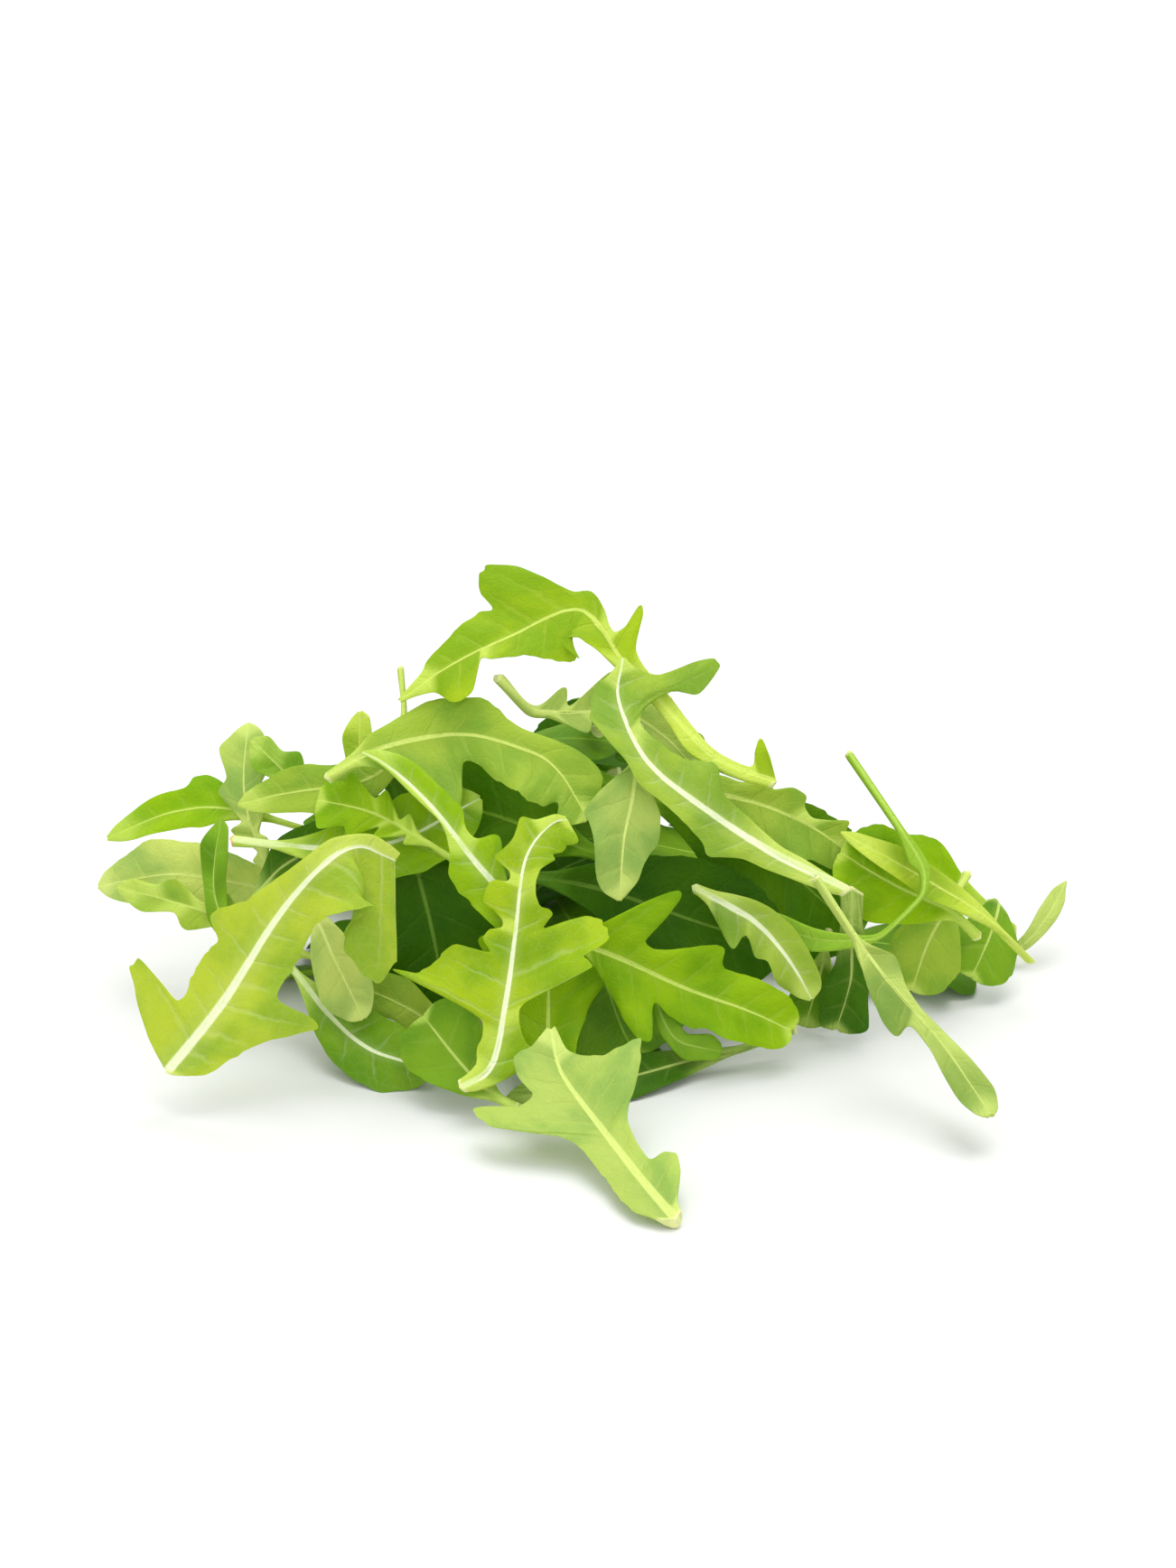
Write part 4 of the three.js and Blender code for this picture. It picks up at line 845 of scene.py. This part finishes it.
def half_blade(leaf, side, seed, coarse, places, along, rib):
    """One side of a finer leaf, from the midrib to the edge, by name: its points and normals, how
    far out each point is, its row's width, and the side vein that it is at with the gap between
    two. Rows are crossed by a curve through the coarse points."""
    middle = coarse[:, 2]
    inner, outer = (coarse[:, 1], coarse[:, 0]) if side == 0 else (coarse[:, 3], coarse[:, 4])
    ahead = np.gradient(middle, axis=0)
    ahead[np.abs(ahead).sum(1) < TINY] = ahead[len(ahead) // 2]
    ahead = unit(ahead)
    width = np.maximum(np.sqrt(((outer - middle) ** 2).sum(1)), LEAST_WIDTH)
    near_rib = np.minimum(np.outer(rib, RIB_COLUMNS), np.outer(width, NARROW_COLUMNS))
    last = near_rib[:, -1:]
    columns = HIDDEN_COLUMNS if leaf["laid"] == "above" else FINE_COLUMNS
    rest = np.linspace(0, 1, columns - len(RIB_COLUMNS) + 2)[1:]
    out = np.hstack([near_rib, last + (width[:, None] - last) * rest])
    c = out / width[:, None]
    tooth = TOOTH * soft_noise(along * TOOTH_TURN, TOOTH_SIDES * side, seed + TOOTH_SEED)
    tooth = tooth * smooth(*TOOTHED_WIDTHS, width)
    c = c * (1 + tooth[:, None] * c ** 4)
    point = (
        middle[:, None] * ((1 - c) * (1 - 2 * c))[..., None]
        + inner[:, None] * (4 * c * (1 - c))[..., None]
        + outer[:, None] * (c * (2 * c - 1))[..., None]
    )
    across = (
        middle[:, None] * (4 * c - 3)[..., None] + inner[:, None] * (4 - 8 * c)[..., None]
        + outer[:, None] * (4 * c - 1)[..., None]
    )
    normal = unit(np.cross(across, ahead[:, None]) * (-1 if side == 0 else 1))

    outline = np.array(OUTLINES[leaf["outline"]], float)
    veins = vein_places(outline, side, leaf["length"])
    phase = np.interp(places, veins, np.arange(len(veins)))
    vein_along = np.interp(veins, np.arange(len(outline)), outline[:, 0]) * leaf["length"]
    gap = np.interp(phase, np.arange(len(veins) - 1) + 0.5, np.diff(vein_along))
    away = np.abs(phase - np.round(phase)) * 2
    arch = np.sin(np.pi * np.clip(c, 0, 1)) ** PUCKER_FLATNESS
    pucker = PUCKER * (away ** PUCKER_FLATNESS)[:, None] * arch
    pucker = pucker * smooth(*PUCKERED_WIDTHS, width)[:, None]
    ripple = soft_noise(
        along[:, None] / RIPPLE_LENGTH, out / RIPPLE_LENGTH * (1 if side else -1), seed
    )
    ripple = RIPPLE * ripple * smooth(*RIPPLED_FROM, out)
    point = point + normal * (pucker + ripple)[..., None]
    return {"point": point, "normal": normal, "out": out, "width": width, "phase": phase, "gap": gap}


def closed_faces(count, across):
    """The four-sided faces of a closed blade: its top, its under face, its edges and its ends.
    Its vertices are count rows of so many across on top, then as many below."""
    top = np.arange(count * across).reshape(count, across)
    low = top + count * across
    quads = np.stack([top[:-1, :-1], top[:-1, 1:], top[1:, 1:], top[1:, :-1]], -1).reshape(-1, 4)
    faces = [quads, (quads + count * across)[:, ::-1]]
    for j in (0, across - 1):
        a, b = top[:-1, j], top[1:, j]
        x, y = low[:-1, j], low[1:, j]
        faces.append(np.stack([x, a, b, y] if j == 0 else [a, x, y, b], -1))
    for i in (0, count - 1):
        a, b = top[i, :-1], top[i, 1:]
        x, y = low[i, :-1], low[i, 1:]
        faces.append(np.stack([x, y, b, a] if i == 0 else [a, b, y, x], -1))
    return np.concatenate(faces)


def fine_leaf(leaf, rows, seed):
    """The finer leaf's vertices, faces and what its material reads at each vertex."""
    outline = np.array(OUTLINES[leaf["outline"]], float)
    coarse, places = between_rows(rows, HIDDEN_STEP if leaf["laid"] == "above" else FINE_STEP)
    share = np.interp(places, np.arange(len(outline)), outline[:, 0])
    along = share * leaf["length"]
    rib = RIB_AT_BASE + (RIB_AT_TIP - RIB_AT_BASE) * share ** RIB_TAPER
    rib = rib * (NARROW_RIB + (1 - NARROW_RIB) * min(1, leaf["half_width"] / FULL_RIB_LEAF))
    if leaf["name"] not in WIDE_RIBS:
        rib = rib * THIN_RIB
    left, right = (half_blade(leaf, side, seed, coarse, places, along, rib) for side in (0, 1))

    def joined(key, flip=1):
        return np.concatenate([flip * left[key][:, :0:-1], right[key]], 1)

    point, normal, out = joined("point"), joined("normal"), joined("out", -1)
    count, across = out.shape
    centre = across // 2
    normal[:, centre] = unit(left["normal"][:, 0] + right["normal"][:, 0])
    side_of = (np.arange(across) >= centre).astype(int)
    width, phase, gap = (
        np.stack([left[key], right[key]])[side_of].T for key in ("width", "phase", "gap")
    )

    stem = 1 - smooth(*STEM_HALF_WIDTHS, width)
    margin = np.clip(np.abs(out) / width, 0, 1)
    rounded = np.sqrt(np.maximum(0, 1 - margin ** 2))
    blade = FINE_BLADE / 2 + (FINE_EDGE - FINE_BLADE) / 2 * smooth(EDGE_FROM, 1, margin)
    packed_upper = BLADE_THICKNESS / 2 + STEM_ROUNDING * (1 - share)[:, None]
    packed_ridge = (STEM_THICKNESS + (TIP_THICKNESS - STEM_THICKNESS) * share)[:, None] - packed_upper
    on_rib = np.sqrt(np.maximum(0, 1 - (out / (RIDGE_REACH * rib[:, None])) ** 2))
    ridge = np.minimum(RIDGE_DEPTH * rib[:, None], RIDGE_LIMIT * packed_ridge)

    def thickness(on_blade, on_stem):
        round_stem = STEM_SIDE + (on_stem - STEM_SIDE) * rounded
        return ((1 - stem) * (blade + on_blade * on_rib) + stem * round_stem)[..., None]

    top = point + normal * thickness(RIDGE_RISE, packed_upper)
    under = point - normal * thickness(ridge, packed_ridge)
    vertices = np.concatenate([top.reshape(-1, 3), under.reshape(-1, 3)])

    def twice(values):
        flat = np.broadcast_to(values, (count, across)).reshape(-1)
        return np.concatenate([flat, flat])

    read = {
        "along": twice(along[:, None]),
        "out": twice(out),
        "phase": twice(phase),
        "gap": twice(gap),
        "margin": twice(margin),
        "rib": twice(rib[:, None]),
        "stem": twice(stem),
        "under": np.repeat([0.0, 1.0], count * across),
    }
    return vertices, closed_faces(count, across), read


def linear(tone):
    return tuple(((t / 255 + 0.055) / 1.055) ** 2.4 if t > 10 else t / 255 / 12.92 for t in tone)


class Nodes:
    """A material's node tree, with short ways to add to it."""

    def __init__(self, name):
        self.material = bpy.data.materials.new(name)
        self.material.use_nodes = True
        self.tree = self.material.node_tree
        self.tree.nodes.clear()

    def add(self, kind, settings=None, **inputs):
        node = self.tree.nodes.new(kind)
        for key, value in (settings or {}).items():
            setattr(node, key, value)
        for key, value in inputs.items():
            self.put(node.inputs[key.replace("_", " ")], value)
        return node

    def put(self, socket, value):
        if isinstance(value, bpy.types.NodeSocket):
            self.tree.links.new(value, socket)
        elif isinstance(value, tuple) and len(value) == 3 and socket.type == "RGBA":
            socket.default_value = (*value, 1)
        else:
            socket.default_value = value

    def attribute(self, name):
        return self.add("ShaderNodeAttribute", {"attribute_name": name}).outputs["Fac"]

    def noise(self, place, scale, detail=2.0):
        return self.add("ShaderNodeTexNoise", Vector=place, Scale=scale, Detail=detail).outputs["Fac"]

    def math(self, operation, *values):
        node = self.add("ShaderNodeMath", {"operation": operation})
        for socket, value in zip(node.inputs, values):
            self.put(socket, value)
        return node.outputs[0]

    def fade(self, value, start, end, first=1.0, last=0.0):
        """first where value is under start, last where it is over end, and smooth between."""
        node = self.add("ShaderNodeMapRange", {"interpolation_type": "SMOOTHSTEP"})
        for key, given in zip(
            ("Value", "From Min", "From Max", "To Min", "To Max"), (value, start, end, first, last)
        ):
            self.put(node.inputs[key], given)
        return node.outputs["Result"]

    def mix(self, share, a, b, blend="MIX"):
        node = self.add("ShaderNodeMix", {"data_type": "RGBA", "blend_type": blend})
        self.put(node.inputs[0], share)
        self.put(node.inputs[6], a)
        self.put(node.inputs[7], b)
        return node.outputs[2]


def blended(share, first, second):
    return tuple((1 - share) * a + share * b for a, b in zip(first, second))


def leaf_tones(leaf):
    """The tones of a leaf's tissue, by name. Leaves inside the heap and in its shade get darker tissue
    and dimmed ribs and stems: painted shade.
    """
    name = leaf["name"]
    hidden = leaf["laid"] == "above"
    # Painted shade: leaves laid from above, inside the heap, take darker tissues.
    slot_tissues = SHADED_HIDDEN_TISSUES if hidden else SLOT_TISSUES
    face = linear(TISSUES[LEAF_TISSUES.get(name, slot_tissues[leaf["green"]])])
    light = tuple(min(1, tone * more) for tone, more in zip(face, LIGHTER))
    # Painted shade: dimmed ribs and stems inside the heap and on the shaded leaves.
    rib_share = SHADED_RIB if hidden or name in SHADED_RIBS else PLAIN_RIB
    stem_share = FAINT_STEM if hidden or name in FAINT_STEMS else PLAIN_STEM
    if name in WHITE_RIBS:
        ribs = linear(WHITE_RIB_TONE)
    else:
        ribs = blended(rib_share, light, linear(RIB_TONE))
    return {
        "deep": tuple(tone * less for tone, less in zip(face, DEEPER)),
        "light": light,
        "bloom": blended(BLOOM, face, linear(BLOOM_TONE)),
        "ribs": ribs,
        "pale": blended(0.5, light, ribs),
        "stem": blended(stem_share, light, linear(STEM_TONE)),
        "cut": linear(DRIED_TONE if name in DRIED_CUTS else CUT_TONE),
    }


def side_veins(n, place, margin):
    """How much a place is on a side vein, from 0 to 1."""
    waver = n.math("SUBTRACT", n.noise(place, WAVER_SCALE), 0.5)
    phase = n.math("ADD", n.attribute("phase"), n.math("MULTIPLY", waver, VEIN_WAVER))
    away = n.math("ABSOLUTE", n.math("SUBTRACT", phase, n.math("ROUND", phase)))
    away = n.math("MULTIPLY", away, n.attribute("gap"))
    vein = n.fade(n.math("DIVIDE", away, n.fade(margin, 0.0, 1.0, *VEIN_WIDTHS)), *VEIN_FADE)
    return n.math("MULTIPLY", vein, n.fade(margin, 0.5, 1.0, 1.0, VEIN_AT_EDGE))


def leaf_material(leaf, seed):
    """Leaf tissue: a green blade that lets light through, pale veins, a paler under face,
    a pale stem and its cut."""
    tones = leaf_tones(leaf)
    n = Nodes("tissue_" + leaf["name"])
    along, out, stem, under = (n.attribute(key) for key in ("along", "out", "stem", "under"))
    shift = PATTERN_SHIFT * draw(seed, 30)
    place = n.add("ShaderNodeCombineXYZ", X=along, Y=out, Z=shift).outputs[0]
    vein = side_veins(n, place, n.attribute("margin"))
    from_middle = n.math("DIVIDE", n.math("ABSOLUTE", out), n.attribute("rib"))
    on_rib = n.fade(from_middle, *RIB_FADE)
    near_rib = n.fade(from_middle, *NEAR_RIB_FADE)
    cells = n.add(
        "ShaderNodeTexVoronoi", {"feature": "DISTANCE_TO_EDGE"}, Vector=place, Scale=NET_SCALE,
        Randomness=NET_UNEVENNESS,
    ).outputs["Distance"]
    net = n.fade(cells, *NET_FADE)
    blotch = n.noise(place, BLOTCH_SCALE, 3.0)
    grain = n.noise(place, GRAIN_SCALE)
    streak_place = n.add("ShaderNodeCombineXYZ", X=n.math("MULTIPLY", along, STREAK_STRETCH), Y=out)
    streaks = n.noise(streak_place.outputs[0], STREAK_SCALE)

    stem_green = n.mix(n.fade(streaks, *STREAK_FADE, 0.0, STREAK_LIGHT), tones["stem"], tones["light"])
    cut = n.math("MULTIPLY", n.fade(along, *CUT_FADE), n.fade(stem, 0.4, 0.8, 0.0, 1.0))
    green = tones["deep"]
    for share, tone in (
        (n.fade(blotch, *BLOTCH_FADE, 0.0, 1.0), tones["light"]),
        (n.fade(grain, *GRAIN_FADE, 0.0, GRAIN_LIGHT), tones["light"]),
        (n.math("MULTIPLY", under, UNDER_BLOOM), tones["bloom"]),
        (n.math("MULTIPLY", net, NET_LIGHT), tones["pale"]),
        (n.math("MULTIPLY", near_rib, NEAR_RIB_LIGHT), tones["pale"]),
        (n.math("MULTIPLY", vein, VEIN_LIGHT), tones["pale"]),
        (n.math("MULTIPLY", stem, STEM_LIGHT), stem_green),
        (n.math("MULTIPLY", on_rib, n.fade(stem, 0.3, 1.0, *RIB_LIGHT)), tones["ribs"]),
        (cut, tones["cut"]),
    ):
        green = n.mix(share, green, tone)

    veins_high = n.math("MAXIMUM", vein, n.math("MULTIPLY", net, NET_RIDGE))
    ridge = n.math("MULTIPLY", veins_high, n.fade(under, 0.4, 0.6, -1.0, 1.0))
    height = n.math("ADD", ridge, n.math("MULTIPLY", grain, GRAIN_RIDGE))
    bump = n.add("ShaderNodeBump", Height=height, **BUMP).outputs[0]
    rough = n.fade(grain, 0.2, 0.8, *FACE_ROUGHNESS)
    rough = n.math("ADD", rough, n.math("MULTIPLY", under, UNDER_ROUGHNESS))
    face = n.add("ShaderNodeBsdfPrincipled", Base_Color=green, Roughness=rough, Normal=bump)
    face.inputs["Specular IOR Level"].default_value = GLOSS
    glow = n.mix(1.0, green, THROUGH_TONE, "MULTIPLY")
    through = n.add("ShaderNodeBsdfTranslucent", Color=glow, Normal=bump)
    clear = n.math(
        "MULTIPLY", n.fade(on_rib, 0.0, 1.0, *CLEAR), n.fade(stem, 0.0, 1.0, 1.0, CLEAR_STEM)
    )
    both = n.add("ShaderNodeMixShader", Fac=clear)
    n.put(both.inputs[1], face.outputs[0])
    n.put(both.inputs[2], through.outputs[0])
    n.add("ShaderNodeOutputMaterial", Surface=both.outputs[0])
    return n.material


def make_piece(leaf, vertices, faces, read, material):
    mesh = bpy.data.meshes.new(leaf["name"] + "_fine")
    mesh.from_pydata((vertices * METRE).tolist(), [], faces.tolist())
    mesh.validate()
    for name, values in read.items():
        layer = mesh.attributes.new(name, "FLOAT", "POINT")
        layer.data.foreach_set("value", values.astype(np.float32))
    mesh.materials.append(material)
    mesh.shade_smooth()
    mesh.set_sharp_from_angle(angle=SHARP)
    piece = bpy.data.objects.new(leaf["name"] + "_fine", mesh)
    bpy.context.scene.collection.objects.link(piece)
    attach(piece, "root")
    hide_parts(leaf["name"])


leaves = [
    *(resting_leaf(index) for index in range(RESTING_LEAVES)),
    *(core_leaf(index) for index in range(CORE_LEAVES)),
    *(back_leaf(index) for index in range(BACK_LEAVES)),
    *(front_leaf(*row) for row in FRONT_LEAVES),
]
views = {way: HeapView(back) for way, back in LAID.items()}
heap_shift = None
for seed, leaf in enumerate(leaves):
    rows, solid = lay(leaf, views)
    low, high = (np.array(corner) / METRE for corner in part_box(leaf["name"]))
    shift = (low + high) / 2 - (solid.min(0) + solid.max(0)) / 2
    size_error = np.abs((high - low) - (solid.max(0) - solid.min(0))).max()
    if size_error > SIZE_SLACK:
        print("differs from the packed leaf:", leaf["name"], round(float(size_error), 3), "mm")
    heap_shift = shift if heap_shift is None else heap_shift
    vertices, faces, read = fine_leaf(leaf, rows + shift, seed)
    vertices[:, 2] = np.maximum(vertices[:, 2], 0)
    make_piece(leaf, vertices, faces, read, leaf_material(leaf, seed))

# The table
table_mesh = bpy.data.meshes.new("table")
corners = [(-1, -1), (1, -1), (1, 1), (-1, 1)]
table_mesh.from_pydata([(x * HALF_TABLE, y * HALF_TABLE, 0) for x, y in corners], [], [(0, 1, 2, 3)])
table = bpy.data.objects.new("table", table_mesh)
bpy.context.scene.collection.objects.link(table)
white = Nodes("table_white")
shade = white.add("ShaderNodeTexNoise", Scale=TABLE_SCALE, Detail=1.0).outputs["Fac"]
surface = white.add("ShaderNodeBsdfPrincipled", Base_Color=white.mix(shade, *TABLE_TONES))
surface.inputs["Roughness"].default_value = TABLE_ROUGHNESS
white.add("ShaderNodeOutputMaterial", Surface=surface.outputs[0])
table_mesh.materials.append(white.material)

for name, azimuth, elevation, strength, spread in SUNS:
    light = bpy.data.lights.new(name, "SUN")
    light.energy = strength
    light.angle = spread * DEGREE
    lamp = bpy.data.objects.new(name, light)
    bpy.context.scene.collection.objects.link(lamp)
    lamp.rotation_euler = ((90 - elevation) * DEGREE, 0, azimuth * DEGREE)
world = bpy.data.worlds.new("studio")
world.use_nodes = True
sky = world.node_tree.nodes["Background"].inputs
sky["Color"].default_value = (1, 1, 1, 1)
sky["Strength"].default_value = SKY
bpy.context.scene.world = world
bpy.context.scene.view_settings.view_transform = "Standard"

camera_data = bpy.data.cameras.new("camera")
camera = bpy.data.objects.new("camera", camera_data)
bpy.context.scene.collection.objects.link(camera)
target = (np.array(CAMERA_TARGET) + heap_shift) * METRE
back = np.array([0, -math.cos(CAMERA_ELEVATION), math.sin(CAMERA_ELEVATION)])
camera.location = target + back * CAMERA_DISTANCE * METRE
camera.rotation_euler = (90 * DEGREE - CAMERA_ELEVATION, 0, 0)
camera_data.sensor_width = SENSOR
camera_data.lens = CAMERA_DISTANCE / PIXEL / IMAGE[1] * SENSOR
camera_data.clip_start, camera_data.clip_end = CLIP
bpy.context.scene.camera = camera
